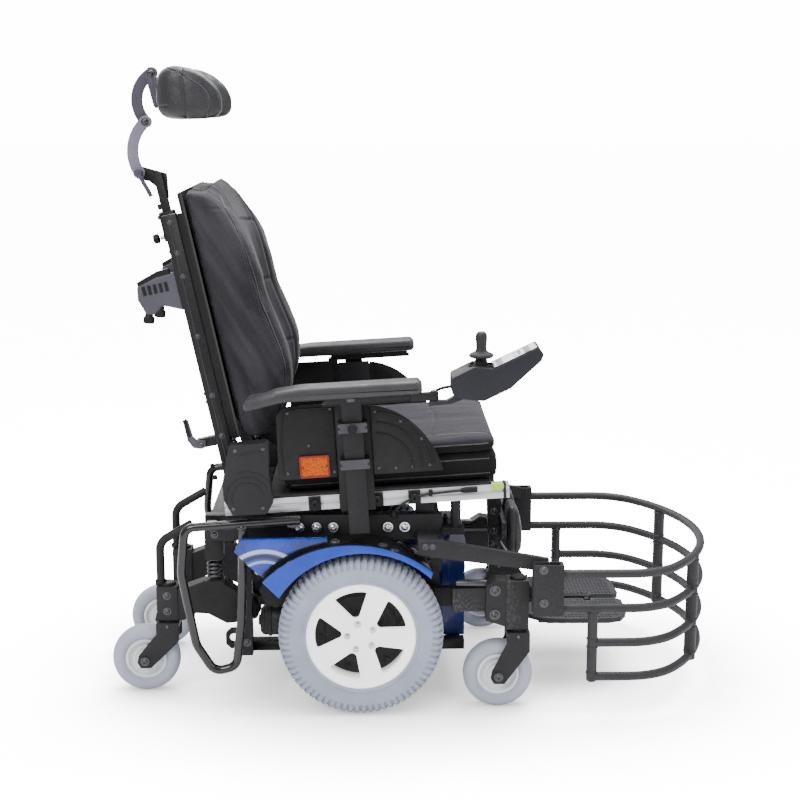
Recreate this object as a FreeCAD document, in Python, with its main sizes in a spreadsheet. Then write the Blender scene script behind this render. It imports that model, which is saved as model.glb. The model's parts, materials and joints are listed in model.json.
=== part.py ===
"""Power wheelchair with a mid-wheel-drive base and a tubular front guard.

Millimetres. +X is the way the chair drives, +Y its left, +Z up. The floor is Z = 0 and the origin
lies under the middle of the whole chair. Every outline below is drawn from the drive axle, and
axle_x then carries it into the chair's own frame. The seat group leans back by seat_tilt about a
point on the seat rails, and the backrest group by back_angle about its hinge.
"""
import FreeCAD, Part
import math
import os
import re
import Sketcher

Vector = FreeCAD.Vector

DIMENSIONS = {
    # place of the drive axle in the chair's frame
    "axle_x": -115.25,
    # drive wheels
    "tyre_radius": 178, "tyre_width": 74, "tyre_seat": 118, "wheel_y": 270,
    "rim_depth": 64, "rim_wall": 9, "disc_out": 25, "disc_thick": 9,
    "hub_radius": 31, "shaft_radius": 12, "running_gap": 0.05,
    # casters
    "caster_radius": 76, "caster_width": 46, "caster_seat": 46, "caster_axle": 6,
    "fork_gap": 3, "fork_leg": 5, "crown_half": 25, "crown_thick": 12, "stem_radius": 9,
    "rear_caster_x": -431, "rear_caster_y": 138, "rear_trail": 52, "rear_crown": 152,
    "front_caster_x": 340, "front_caster_y": 245, "front_trail": 42, "front_crown": 163,
    # chassis
    "beam_in": 196, "beam_out": 224, "beam_low": 372, "beam_top": 428,
    "chassis_back": -335, "chassis_front": 175, "cradle_low": 98, "cradle_top": 120,
    "cradle_in": 136, "cradle_out": 166,
    "battery_back": -130, "battery_front": 232, "battery_half": 134, "battery_top": 322,
    "battery_wall": 4, "lid_thick": 12,
    # suspension
    "rear_pivot_x": -250, "rear_pivot_z": 190, "arm_in": 118, "arm_out": 158,
    "front_pivot_x": 150, "front_pivot_z": 240, "pivot_radius": 8,
    "spring_x": -325, "spring_low": 258, "spring_high": 306, "spring_mean": 15, "spring_wire": 3.5,
    # seat
    "seat_x": 21, "seat_z": 449, "seat_tilt": 3.5, "rail_in": 210, "rail_out": 235,
    "rail_high": 32, "rail_back": -311, "rail_front": 300, "seat_half": 222,
    "pan_thick": 5, "base_cushion_top": 98, "cushion_top": 128,
    # backrest
    "hinge_x": -268, "hinge_z": 483, "back_angle": 12, "cane_in": 178, "cane_out": 204,
    "cane_top": 600, "shell_half": 214, "cushion_half": 222,
    # headrest
    "bar_back": -43, "bar_front": -25, "bar_half": 10, "link_width": 24, "link_thick": 10,
    # armrests
    "pad_in": 244, "pad_out": 300, "post_back": -46, "post_front": -4, "post_in": 279,
    "post_out": 291,
    # joystick
    "pod_y": -280, "pod_width": 80, "stick_x": 252, "stick_z": 745, "dome_radius": 22,
    "swing_y": -288,
    # leg rest
    "leg_pivot_x": 290, "leg_pivot_z": 440, "plate_low": 150, "plate_thick": 12,
    "plate_hinge_y": 18,
    # front guard
    "guard_half": 312, "guard_tube": 9.5, "guard_top": 320.5, "guard_pitch": 76.8,
    "guard_nose": 780, "guard_nose_radius": 400, "guard_corner_radius": 140,
    "guard_back": 429, "window_turn": 13.7, "first_post_x": 494, "first_post_radius": 11, "corner_post_radius": 13,
}

doc = FreeCAD.newDocument("PowerWheelchair")
sheet = doc.addObject("Spreadsheet::Sheet", "Dims")
for row, (alias, value) in enumerate(DIMENSIONS.items(), start=1):
    sheet.set("A%d" % row, alias.replace("_", " "))
    sheet.set("B%d" % row, str(value))
    sheet.setAlias("B%d" % row, alias)
doc.recompute()

nodes = []


# ---------------------------------------------------------------- sheet helpers

def formula(text):
    """Turn the aliases in a formula into references to the sheet."""
    def reference(match):
        word = match.group()
        return "Dims." + word if word in DIMENSIONS else word
    return re.sub(r"[A-Za-z_][A-Za-z_0-9]*", reference, str(text))


def number(text):
    """The present value of a formula."""
    return float(sheet.evalExpression(formula(text)))


def bind(item, **properties):
    for name, text in properties.items():
        item.setExpression(name, formula(text))


def locate(item, at, axis=None, angle=None):
    """Bind an object's place, and its turn about one axis."""
    if axis:
        item.Placement = FreeCAD.Placement(Vector(), FreeCAD.Rotation(Vector(*axis), number(angle)))
        item.setExpression(".Placement.Rotation.Angle", formula(angle))
    for letter, text in zip("xyz", at):
        item.setExpression(".Placement.Base." + letter, formula(text))


# ---------------------------------------------------------------- shape helpers

def box(name, x, y, z):
    """Box between the two formulas of each pair."""
    item = doc.addObject("Part::Box", name)
    bind(item, Length="(%s) - (%s)" % (x[1], x[0]), Width="(%s) - (%s)" % (y[1], y[0]),
         Height="(%s) - (%s)" % (z[1], z[0]))
    locate(item, (x[0], y[0], z[0]))
    return item


def sided(side, inner, outer):
    """The Y pair of a piece on the left (side 1) or the right (side -1)."""
    if side > 0:
        return (inner, outer)
    return ("-(%s)" % outer, "-(%s)" % inner)


def rod(name, radius, length, at, along="z"):
    """Cylinder that starts at a point and runs along +X, +Y or +Z."""
    item = doc.addObject("Part::Cylinder", name)
    bind(item, Radius=radius, Height=length)
    turn = {"x": ((0, 1, 0), "90"), "y": ((-1, 0, 0), "90"), "z": (None, None)}[along]
    locate(item, at, *turn)
    return item


def fuse(name, members):
    item = doc.addObject("Part::MultiFuse", name)
    item.Shapes = members
    return item


def cut(name, base, tools):
    """Base less the tools."""
    item = doc.addObject("Part::Cut", name)
    item.Base = base
    item.Tool = tools[0] if len(tools) == 1 else fuse(name + "_tools", tools)
    return item


def solid(name, shape):
    """A shape that Part's own functions made."""
    item = doc.addObject("Part::Feature", name)
    item.Shape = shape
    return item


def origin_part(body, role):
    return [item for item in body.Origin.OriginFeatures if item.Role == role][0]


def outline(body, role, name, points):
    """Closed sketch of straight edges, each corner bound to its two formulas."""
    sketch = body.newObject("Sketcher::SketchObject", name)
    sketch.AttachmentSupport = [(origin_part(body, role), "")]
    sketch.MapMode = "FlatFace"
    corners = [Vector(number(x), number(y), 0) for x, y in points]
    count = len(corners)
    for i in range(count):
        sketch.addGeometry(Part.LineSegment(corners[i], corners[(i + 1) % count]), False)
    for i in range(count):
        sketch.addConstraint(Sketcher.Constraint("Coincident", i, 2, (i + 1) % count, 1))
    for i, (x, y) in enumerate(points):
        for kind, text, value in (("DistanceX", x, corners[i].x), ("DistanceY", y, corners[i].y)):
            place = sketch.addConstraint(Sketcher.Constraint(kind, -1, 1, i, 1, value))
            sketch.setExpression("Constraints[%d]" % place, formula(text))
    return sketch


def centred_circle(body, role, name, x, y, radius):
    """Sketch of one circle, its centre and radius bound."""
    sketch = body.newObject("Sketcher::SketchObject", name)
    sketch.AttachmentSupport = [(origin_part(body, role), "")]
    sketch.MapMode = "FlatFace"
    middle = Vector(number(x), number(y), 0)
    sketch.addGeometry(Part.Circle(middle, Vector(0, 0, 1), number(radius)), False)
    for kind, text, value in (("DistanceX", x, middle.x), ("DistanceY", y, middle.y)):
        place = sketch.addConstraint(Sketcher.Constraint(kind, -1, 1, 0, 3, value))
        sketch.setExpression("Constraints[%d]" % place, formula(text))
    place = sketch.addConstraint(Sketcher.Constraint("Radius", 0, number(radius)))
    sketch.setExpression("Constraints[%d]" % place, formula(radius))
    return sketch


def padded(name, role, points, thick, rounding=None, pick=None):
    """Body: an outline padded to both sides of its plane, with rounded edges if asked."""
    body = doc.addObject("PartDesign::Body", name)
    pad = body.newObject("PartDesign::Pad", name + "_pad")
    pad.Profile = outline(body, role, name + "_sketch", points)
    pad.SideType = "Symmetric"
    bind(pad, Length=thick)
    doc.recompute()
    if rounding:
        chosen = ["Edge%d" % n for n, edge in enumerate(pad.Shape.Edges, start=1) if pick(edge)]
        soft = body.newObject("PartDesign::Fillet", name + "_fillet")
        soft.Base = (pad, chosen)
        bind(soft, Radius=rounding)
        doc.recompute()
    return body


def plate(name, points, thick, y, rounding=None, pick=None):
    """Plate with an outline in X and Z, its middle at y."""
    body = padded(name, "XZ_Plane", points, thick, rounding, pick)
    locate(body, ("0", y, "0"))
    return body


def across(edge):
    """Whether an edge is straight and runs along Y."""
    start, end = edge.Vertexes[0].Point, edge.Vertexes[-1].Point
    run = end - start
    return abs(run.y) > 0.99 * edge.Length and run.Length > 0.001


def turned(name, points):
    """Body: an outline of (radius, y) corners turned about the Y axis."""
    body = doc.addObject("PartDesign::Body", name)
    turn = body.newObject("PartDesign::Revolution", name + "_turn")
    section = outline(body, "XY_Plane", name + "_sketch", points)
    turn.Profile = section
    turn.ReferenceAxis = (section, ["V_Axis"])
    turn.Angle = 360
    doc.recompute()
    return body


def route(points, radius):
    """Wire of straight runs joined by tangent arcs of one radius at each inner point."""
    corners = [Vector(*point) for point in points]
    edges = []
    start = corners[0]
    for i in range(1, len(corners) - 1):
        before = (corners[i - 1] - corners[i]).normalize()
        after = (corners[i + 1] - corners[i]).normalize()
        half = before.getAngle(after) / 2
        back = radius[i - 1] / math.tan(half)
        enter = corners[i] + before * back
        leave = corners[i] + after * back
        bisector = (before + after).normalize()
        middle = corners[i] + bisector * (radius[i - 1] / math.sin(half) - radius[i - 1])
        edges.append(Part.LineSegment(start, enter).toShape())
        edges.append(Part.Arc(enter, middle, leave).toShape())
        start = leave
    edges.append(Part.LineSegment(start, corners[-1]).toShape())
    return Part.Wire(edges)


def tube(wire, radius):
    """Round bar swept along a wire."""
    start = wire.Edges[0]
    ring = Part.Wire(Part.makeCircle(radius, start.valueAt(start.FirstParameter),
                                     start.tangentAt(start.FirstParameter)))
    return wire.makePipeShell([ring], True, False)


def arc_band(outer, inner, y_low, y_high):
    """Solid between two three-point arcs in the X-Z plane, from y_low to y_high."""
    out = [Vector(x, y_low, z) for x, z in outer]
    ins = [Vector(x, y_low, z) for x, z in inner]
    wire = Part.Wire([Part.Arc(*out).toShape(), Part.LineSegment(out[2], ins[2]).toShape(),
                      Part.Arc(ins[2], ins[1], ins[0]).toShape(),
                      Part.LineSegment(ins[0], out[0]).toShape()])
    return Part.Face(wire).extrude(Vector(0, y_high - y_low, 0))


# ---------------------------------------------------------------- nodes and their frames

FRAMES = {
    "base": (("axle_x", "0", "0"), None, None),
    "seat": (("axle_x + seat_x", "0", "seat_z"), (0, -1, 0), "seat_tilt"),
    "back": (("axle_x + hinge_x", "0", "hinge_z"), (0, -1, 0), "back_angle"),
}


def node(label, members, frame="base"):
    """Name one sub-part, made of one or more separate solids, and place it in the chair."""
    item = doc.addObject("Part::Compound", label + "_solids")
    item.Links = members
    item.Label = label
    place, axis, angle = FRAMES[frame]
    locate(item, place, axis, angle)
    nodes.append(item)
    return item


def both_sides(make):
    """The right (-1) and left (+1) pieces of a pair."""
    return [make(side, word) for side, word in ((-1, "right"), (1, "left"))]


# ---------------------------------------------------------------- drive wheels

def rim_window():
    """Rounded three-cornered window: a round tip near the hub and a wide arc near the tyre."""
    tip, outer = number("hub_radius + 21"), number("tyre_seat - 19")
    points = [(10.5 * math.cos(math.radians(a)), tip + 10.5 * math.sin(math.radians(a)))
              for a in range(200, 341, 20)]
    points += [(32.5, outer - 14.5), (35, outer - 10), (33.5, outer - 6.5)]
    points += [(outer * math.sin(math.radians(a)), outer * math.cos(math.radians(a)))
               for a in (16, 10, 5, 0, -5, -10, -16)]
    points += [(-33.5, outer - 6.5), (-35, outer - 10), (-32.5, outer - 14.5)]
    turn = math.radians(number("window_turn"))
    return [("%.3f" % (x * math.cos(turn) + z * math.sin(turn)),
             "%.3f" % (z * math.cos(turn) - x * math.sin(turn))) for x, z in points]


def drive_wheel(side, word):
    """Tyre, five-window rim and drive shaft; the rim's face looks outwards."""
    flip = "180" if side < 0 else "0"
    at = ("0", "%d * wheel_y" % side, "tyre_radius")
    half = "tyre_width / 2"
    tyre = turned("drive_tyre_%s_body" % word, [
        ("tyre_seat", "-0.40 * tyre_width"), ("tyre_seat", "0.40 * tyre_width"),
        ("tyre_seat + 12", half), ("tyre_radius - 16", half),
        ("tyre_radius - 5", "0.38 * tyre_width"), ("tyre_radius", "0.20 * tyre_width"),
        ("tyre_radius", "-0.20 * tyre_width"), ("tyre_radius - 5", "-0.38 * tyre_width"),
        ("tyre_radius - 16", "-" + half), ("tyre_seat + 12", "-" + half)])
    locate(tyre, at, (0, 0, 1), flip)
    node("drive_tyre_" + word, [tyre])

    rim = turned("drive_rim_%s_body" % word, [
        ("0", "-34"), ("hub_radius", "-34"), ("hub_radius", "disc_out - disc_thick"),
        ("tyre_seat - rim_wall", "disc_out - disc_thick - 7"),
        ("tyre_seat - rim_wall", "-rim_depth / 2"), ("tyre_seat", "-rim_depth / 2"),
        ("tyre_seat", "rim_depth / 2 - 4"), ("tyre_seat - 4", "rim_depth / 2"),
        ("tyre_seat - rim_wall", "disc_out - 2"), ("hub_radius + 8", "disc_out"),
        ("hub_radius", "disc_out + 3"), ("0", "disc_out + 3")])
    window = rim.newObject("PartDesign::Pocket", "window_" + word)
    window.Profile = outline(rim, "XZ_Plane", "window_sketch_" + word, rim_window())
    window.SideType = "Symmetric"
    bind(window, Length="2 * rim_depth")
    doc.recompute()
    ring = rim.newObject("PartDesign::PolarPattern", "windows_" + word)
    ring.Originals = [window]
    ring.Axis = (origin_part(rim, "Y_Axis"), [""])
    ring.Angle = 360
    ring.Occurrences = 5
    rim.Tip = ring
    doc.recompute()
    locate(rim, at, (0, 0, 1), flip)
    inner = "wheel_y - 34"
    shaft = rod("drive_shaft_" + word, "shaft_radius", "40",
                ("0", "wheel_y - 74" if side > 0 else "-(%s)" % inner, "tyre_radius"), "y")
    node("drive_rim_" + word, [fuse("drive_rim_shaft_" + word, [rim, shaft])])


both_sides(drive_wheel)


# ---------------------------------------------------------------- casters

def caster(end, side, word):
    """Fork with stem and axle, and the wheel of tyre and hub that turns on it."""
    tag = "%s_%s" % (end, word)
    x, trail, crown = end + "_caster_x", end + "_trail", end + "_crown"
    y = "%d * %s_caster_y" % (side, end)
    axle_x = "%s - %s" % (x, trail)
    leg_in = "caster_width / 2 + fork_gap"
    legs = []
    for n, way in enumerate((-1, 1)):
        legs.append(plate("fork_leg_%s_%d" % (tag, n), [
            ("%s + crown_half" % x, "%s + crown_thick" % crown),
            ("%s + crown_half" % x, "%s - 30" % crown),
            (axle_x + " + 13", "caster_radius - 17"), (axle_x + " - 10", "caster_radius - 17"),
            (axle_x + " - 17", "caster_radius - 4"), (axle_x + " - 14", "caster_radius + 12"),
            ("%s - crown_half" % x, "%s - 14" % crown),
            ("%s - crown_half" % x, "%s + crown_thick" % crown)],
            "fork_leg", "%s + %d * (%s + fork_leg / 2)" % (y, way, leg_in), "4", across))
    span = "%s + fork_leg" % leg_in
    top = box("fork_crown_" + tag, ("%s - crown_half" % x, "%s + crown_half" % x),
              ("%s - (%s)" % (y, span), "%s + %s" % (y, span)),
              (crown, "%s + crown_thick" % crown))
    stem = rod("fork_stem_" + tag, "stem_radius", "70", (x, y, "%s + crown_thick" % crown))
    axle = rod("fork_axle_" + tag, "caster_axle", "2 * (%s) + 6" % span,
               (axle_x, "%s - (%s) - 3" % (y, span), "caster_radius"), "y")
    node("caster_fork_" + tag, [fuse("caster_fork_all_" + tag, legs + [top, stem, axle])])

    half = "caster_width / 2"
    tyre = turned("caster_tyre_" + tag, [
        ("caster_seat", "-0.7 * " + half), ("caster_seat", "0.7 * " + half),
        ("caster_seat + 10", half), ("caster_radius - 12", "0.92 * " + half),
        ("caster_radius - 4", "0.66 * " + half), ("caster_radius", "0.30 * " + half),
        ("caster_radius", "-0.30 * " + half), ("caster_radius - 4", "-0.66 * " + half),
        ("caster_radius - 12", "-0.92 * " + half), ("caster_seat + 10", "-" + half)])
    hub = turned("caster_hub_" + tag, [
        ("caster_axle + running_gap", "-" + half), ("15", "-" + half), ("17", "-10"),
        ("caster_seat - 8", "-8"), ("caster_seat - 6", "-0.7 * " + half),
        ("caster_seat", "-0.7 * " + half), ("caster_seat", "0.7 * " + half),
        ("caster_seat - 6", "0.7 * " + half), ("caster_seat - 8", "8"), ("17", "10"),
        ("15", half), ("caster_axle + running_gap", half)])
    for piece in (tyre, hub):
        locate(piece, (axle_x, y, "caster_radius"))
    node("caster_wheel_" + tag, [tyre, hub])


for end_word in ("rear", "front"):
    for side_sign, side_word in ((-1, "right"), (1, "left")):
        caster(end_word, side_sign, side_word)


# ---------------------------------------------------------------- chassis, batteries, drive

def chassis():
    pieces = []
    for side, word in ((-1, "right"), (1, "left")):
        pieces.append(box("beam_" + word, ("chassis_back", "chassis_front"),
                          sided(side, "beam_in", "beam_out"), ("beam_low", "beam_top")))
        pieces.append(box("cradle_rail_" + word, ("rear_pivot_x - 18", "battery_front - 2"),
                          sided(side, "cradle_in", "cradle_out"), ("cradle_low", "cradle_top")))
        pieces.append(box("rear_upright_" + word, ("rear_pivot_x - 18", "rear_pivot_x + 10"),
                          sided(side, "cradle_out", "beam_in"), ("cradle_low", "beam_low + 28")))
        pieces.append(box("front_upright_" + word, ("front_pivot_x - 8", "chassis_front - 3"),
                          sided(side, "cradle_out", "beam_in"), ("cradle_low", "beam_low")))
        eye = plate("eye_plate_" + word, [
            ("rear_pivot_x - 18", "cradle_low + 2"), ("rear_pivot_x - 18", "cradle_low + 48"),
            ("rear_pivot_x - 42", "cradle_low + 48"), ("rear_pivot_x - 53", "cradle_low + 37"),
            ("rear_pivot_x - 53", "cradle_low + 13"), ("rear_pivot_x - 42", "cradle_low + 2")],
            "12", "%d * 151" % side)
        hole = rod("eye_hole_" + word, "11", "40",
                   ("rear_pivot_x - 34", "%d * 151 - 20" % side, "cradle_low + 26"), "y")
        pieces.append(cut("tie_down_eye_" + word, eye, [hole]))
        pieces.append(box("spring_seat_" + word, ("spring_x - 20", "spring_x + 20"),
                          sided(side, "arm_in", "arm_out"), ("spring_high", "beam_low")))
    for name, back, front in (("rear", "chassis_back", "chassis_back + 40"),
                              ("middle", "-150", "-110"), ("front", "140", "chassis_front")):
        pieces.append(box("cross_" + name, (back, front), ("-beam_in", "beam_in"),
                          ("beam_low", "beam_low + 28")))
    for name, back in (("rear", "battery_back + 10"), ("front", "battery_front - 40")):
        pieces.append(box("tray_bar_" + name, (back, back + " + 30"),
                          ("-cradle_in", "cradle_in"), ("cradle_low", "cradle_top")))
    node("chassis_frame", pieces)


def power():
    tub = cut("battery_tub", box(
        "tub_outside", ("battery_back", "battery_front"), ("-battery_half", "battery_half"),
        ("cradle_top", "battery_top")), [box(
            "tub_inside", ("battery_back + battery_wall", "battery_front - battery_wall"),
            ("-battery_half + battery_wall", "battery_half - battery_wall"),
            ("cradle_top + battery_wall", "battery_top + 1"))])
    lid = box("battery_lid", ("battery_back - 3", "battery_front + 3"),
              ("-battery_half - 3", "battery_half + 3"), ("battery_top", "battery_top + lid_thick"))
    node("battery_box", [tub, lid])
    cells = []
    for n, back in enumerate(("battery_back + 10", "battery_back + 184")):
        cells.append(box("battery_%d" % n, (back, back + " + 168"),
                         ("-battery_half + 9", "battery_half - 9"),
                         ("cradle_top + battery_wall", "battery_top - 8")))
    node("batteries", cells)
    node("control_module", [box("module_case", ("-100", "70"), ("-95", "95"),
                                ("battery_top + lid_thick", "beam_low - 6"))])


def drive_motor(side, word):
    """Gearbox with the bore that the drive shaft turns in, and the motor behind it."""
    case = box("gearbox_case_" + word, ("-50", "50"), sided(side, "cradle_out - 14", "226"),
               ("cradle_top", "tyre_radius + 50"))
    bore = rod("gearbox_bore_" + word, "shaft_radius + running_gap", "40",
               ("0", "190" if side > 0 else "-230", "tyre_radius"), "y")
    motor = rod("motor_can_" + word, "33", "162", ("-212", "%d * 186" % side, "tyre_radius"), "x")
    return cut("drive_motor_" + word, fuse("motor_gearbox_" + word, [case, motor]), [bore])


FENDER_OUTER = [(-208, 307), (-30, 387), (153, 326)]
FENDER_INNER = [(-173, 271), (-30, 366), (149, 312)]
FENDER_UNDER = [(-205, 304), (-30, 383), (151, 322)]


def shroud(side, word):
    """Fender over the drive wheel and the side cover behind it."""
    low, high = (number("beam_out"), 315) if side > 0 else (-315, -number("beam_out"))
    lip_low, lip_high = (311, 315) if side > 0 else (-315, -311)
    skin = arc_band(FENDER_OUTER, FENDER_UNDER, low, high)
    lip = arc_band(FENDER_OUTER, FENDER_INNER, lip_low, lip_high)
    fender = solid("fender_" + word, skin.fuse(lip).removeSplitter())
    circle = Part.Arc(*[Vector(x, 0, z) for x, z in FENDER_OUTER]).toShape().Curve
    cover = plate("side_cover_%s_plate" % word, [
        ("-268", "368"), ("-252", "394"), ("-70", "396"), ("-70", "340"), ("-206", "308"),
        ("-240", "338")], "12", "%d * 286" % side, "3", across)
    room = rod("side_cover_room_" + word, "%.3f" % (circle.Radius + 0.5), "60",
               ("%.3f" % circle.Center.x, "%d * 286 - 30" % side, "%.3f" % circle.Center.z), "y")
    return [fender, cut("side_cover_" + word, cover, [room])]


def rear_guard(side, word):
    """Bent tube beside the rear caster, with the feet that bolt to the beam."""
    y = side * 262
    points = [(-130, y, 428), (-374, y, 412), (-384, y, 310), (-356, y, 150), (-318, y, 88),
              (-270, y, 100), (-258, y, 200), (-254, y, 307)]
    bar = tube(route(points, [24, 80, 60, 26, 26, 80]), 9.5)
    riser = tube(Part.Wire(Part.makeLine(Vector(-254, y, 307), Vector(-250, y, 418))), 9.5)
    low, high = (number("beam_out"), 262) if side > 0 else (-262, -number("beam_out"))
    feet = [Part.makeBox(26, high - low, 16, Vector(x, low, z))
            for x, z in ((-330, 406), (-156, 412))]
    return solid("rear_guard_" + word, bar.fuse([riser] + feet))


def fasteners():
    """Suspension pivot bolts and the bolts along the beams."""
    pieces = []
    for side, word in ((-1, "right"), (1, "left")):
        rear = sided(side, "arm_in - 6", "cradle_out")
        pieces.append(rod("rear_pivot_" + word, "pivot_radius", "cradle_out - arm_in + 6",
                          ("rear_pivot_x", rear[0], "rear_pivot_z"), "y"))
        front = sided(side, "beam_in", "228")
        pieces.append(rod("front_pivot_" + word, "pivot_radius", "228 - beam_in",
                          ("front_pivot_x", front[0], "front_pivot_z"), "y"))
        for n, x in enumerate((-132, -95, -59, 59, 95)):
            head = sided(side, "beam_out", "beam_out + 6")
            pieces.append(rod("beam_bolt_%s_%d" % (word, n), "8.5", "6",
                              (str(x), head[0], "402"), "y"))
    node("fasteners", pieces)


chassis()
power()
node("drive_motors", both_sides(drive_motor))
node("body_shrouds", sum(both_sides(shroud), []))
node("rear_guards", both_sides(rear_guard))
fasteners()


# ---------------------------------------------------------------- suspension arms

def rear_arm(side, word):
    """Arm from its pivot to the caster housing, with the bent hoop on the housing."""
    y = "%d * (arm_in + arm_out) / 2" % side
    arm = plate("rear_arm_plate_" + word, [
        ("-409", "168"), ("-395", "168"), ("-368", "184"), ("-340", "182"), ("-300", "160"),
        ("rear_pivot_x - 6", "rear_pivot_z - 26"), ("rear_pivot_x + 18", "rear_pivot_z - 18"),
        ("rear_pivot_x + 26", "rear_pivot_z"), ("rear_pivot_x + 18", "rear_pivot_z + 18"),
        ("-303", "spring_low - 8"), ("-303", "spring_low"), ("-347", "spring_low"),
        ("-409", "236")], "arm_out - arm_in", y)
    housing = box("rear_housing_" + word, ("rear_caster_x - 23", "rear_caster_x + 23"),
                  sided(side, "rear_caster_y - 23", "rear_caster_y + 23"), ("168", "246"))
    bore = rod("rear_stem_bore_" + word, "stem_radius + running_gap", "80",
               ("rear_caster_x", "%d * rear_caster_y" % side, "160"))
    pivot = rod("rear_pivot_bore_" + word, "pivot_radius + running_gap", "60",
                ("rear_pivot_x", "%d * rear_caster_y - 30" % side, "rear_pivot_z"), "y")
    y_hoop = side * number("rear_caster_y")
    hoop = solid("rear_hoop_" + word, tube(route(
        [(-446, y_hoop, 242), (-446, y_hoop, 344), (-374, y_hoop, 386)], [34]), 9.5))
    whole = fuse("rear_arm_all_" + word, [arm, housing, hoop])
    node("rear_arm_" + word, [cut("rear_arm_cut_" + word, whole, [bore, pivot])])


def spring(side, word):
    """Coil spring between the arm and the seat under the rear cross member."""
    height = number("spring_high - spring_low - 2 * spring_wire")
    mean, wire = number("spring_mean"), number("spring_wire")
    helix = Part.makeHelix(height / 4.5, height, mean)
    ring = Part.Wire(Part.makeCircle(wire, Vector(mean, 0, 0), Vector(0, 1, 0.15)))
    coil = Part.Wire(helix.Edges).makePipeShell([ring], True, True)
    coil.translate(Vector(number("spring_x"), side * number("rear_caster_y"),
                          number("spring_low + spring_wire")))
    node("spring_" + word, [solid("coil_" + word, coil)])


def front_arm(side, word):
    """Arm from its pivot inside the drive wheel to the front caster housing."""
    inboard = plate("front_arm_plate_" + word, [
        ("front_pivot_x - 20", "front_pivot_z - 12"), ("front_pivot_x - 12", "front_pivot_z - 20"),
        ("320", "218"), ("320", "264"), ("front_pivot_x - 12", "front_pivot_z + 20"),
        ("front_pivot_x - 20", "front_pivot_z + 12")], "24", "%d * 212" % side)
    block = box("front_arm_block_" + word, ("198", "320"), sided(side, "223", "250"),
                ("216", "268"))
    housing = box("front_housing_" + word, ("front_caster_x - 26", "front_caster_x + 22"),
                  sided(side, "front_caster_y - 23", "front_caster_y + 23"), ("180", "290"))
    cheek = plate("front_cheek_" + word, [
        ("270", "200"), ("318", "184"), ("318", "288"), ("292", "292"), ("270", "278")],
        "40", "%d * front_caster_y" % side)
    bore = rod("front_stem_bore_" + word, "stem_radius + running_gap", "90",
               ("front_caster_x", "%d * front_caster_y" % side, "170"))
    pivot = rod("front_pivot_bore_" + word, "pivot_radius + running_gap", "60",
                ("front_pivot_x", "%d * 212 - 30" % side, "front_pivot_z"), "y")
    whole = fuse("front_arm_all_" + word, [inboard, block, housing, cheek])
    node("front_arm_" + word, [cut("front_arm_cut_" + word, whole, [bore, pivot])])


for side_sign, side_word in ((-1, "right"), (1, "left")):
    rear_arm(side_sign, side_word)
    spring(side_sign, side_word)
    front_arm(side_sign, side_word)


# ---------------------------------------------------------------- seat

def seat_rail(side, word):
    """Extrusion with a groove along its outer face."""
    bar = box("rail_bar_" + word, ("rail_back", "rail_front"),
              sided(side, "rail_in", "rail_out"), ("0", "rail_high"))
    groove = box("rail_groove_" + word, ("rail_back - 1", "rail_front + 1"),
                 sided(side, "rail_out - 4", "rail_out + 1"),
                 ("rail_high / 2 - 3", "rail_high / 2 + 3"))
    return cut("seat_rail_" + word, bar, [groove])


def cushions():
    front = [("276", "rail_high + pan_thick"), ("284", "rail_high + pan_thick + 12"),
             ("286", "86"), ("284", "base_cushion_top")]
    node("seat_base_cushion", [plate(
        "base_cushion_block", front + [("-190", "base_cushion_top"),
                                       ("-190", "rail_high + pan_thick")],
        "2 * seat_half", "0")], "seat")
    node("seat_cushion", [plate("seat_cushion_block", [
        ("-155", "base_cushion_top"), ("283", "base_cushion_top"), ("282", "114"),
        ("274", "122"), ("258", "cushion_top"),
        ("-155", "cushion_top - 4")], "2 * seat_half", "0")], "seat")


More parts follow.
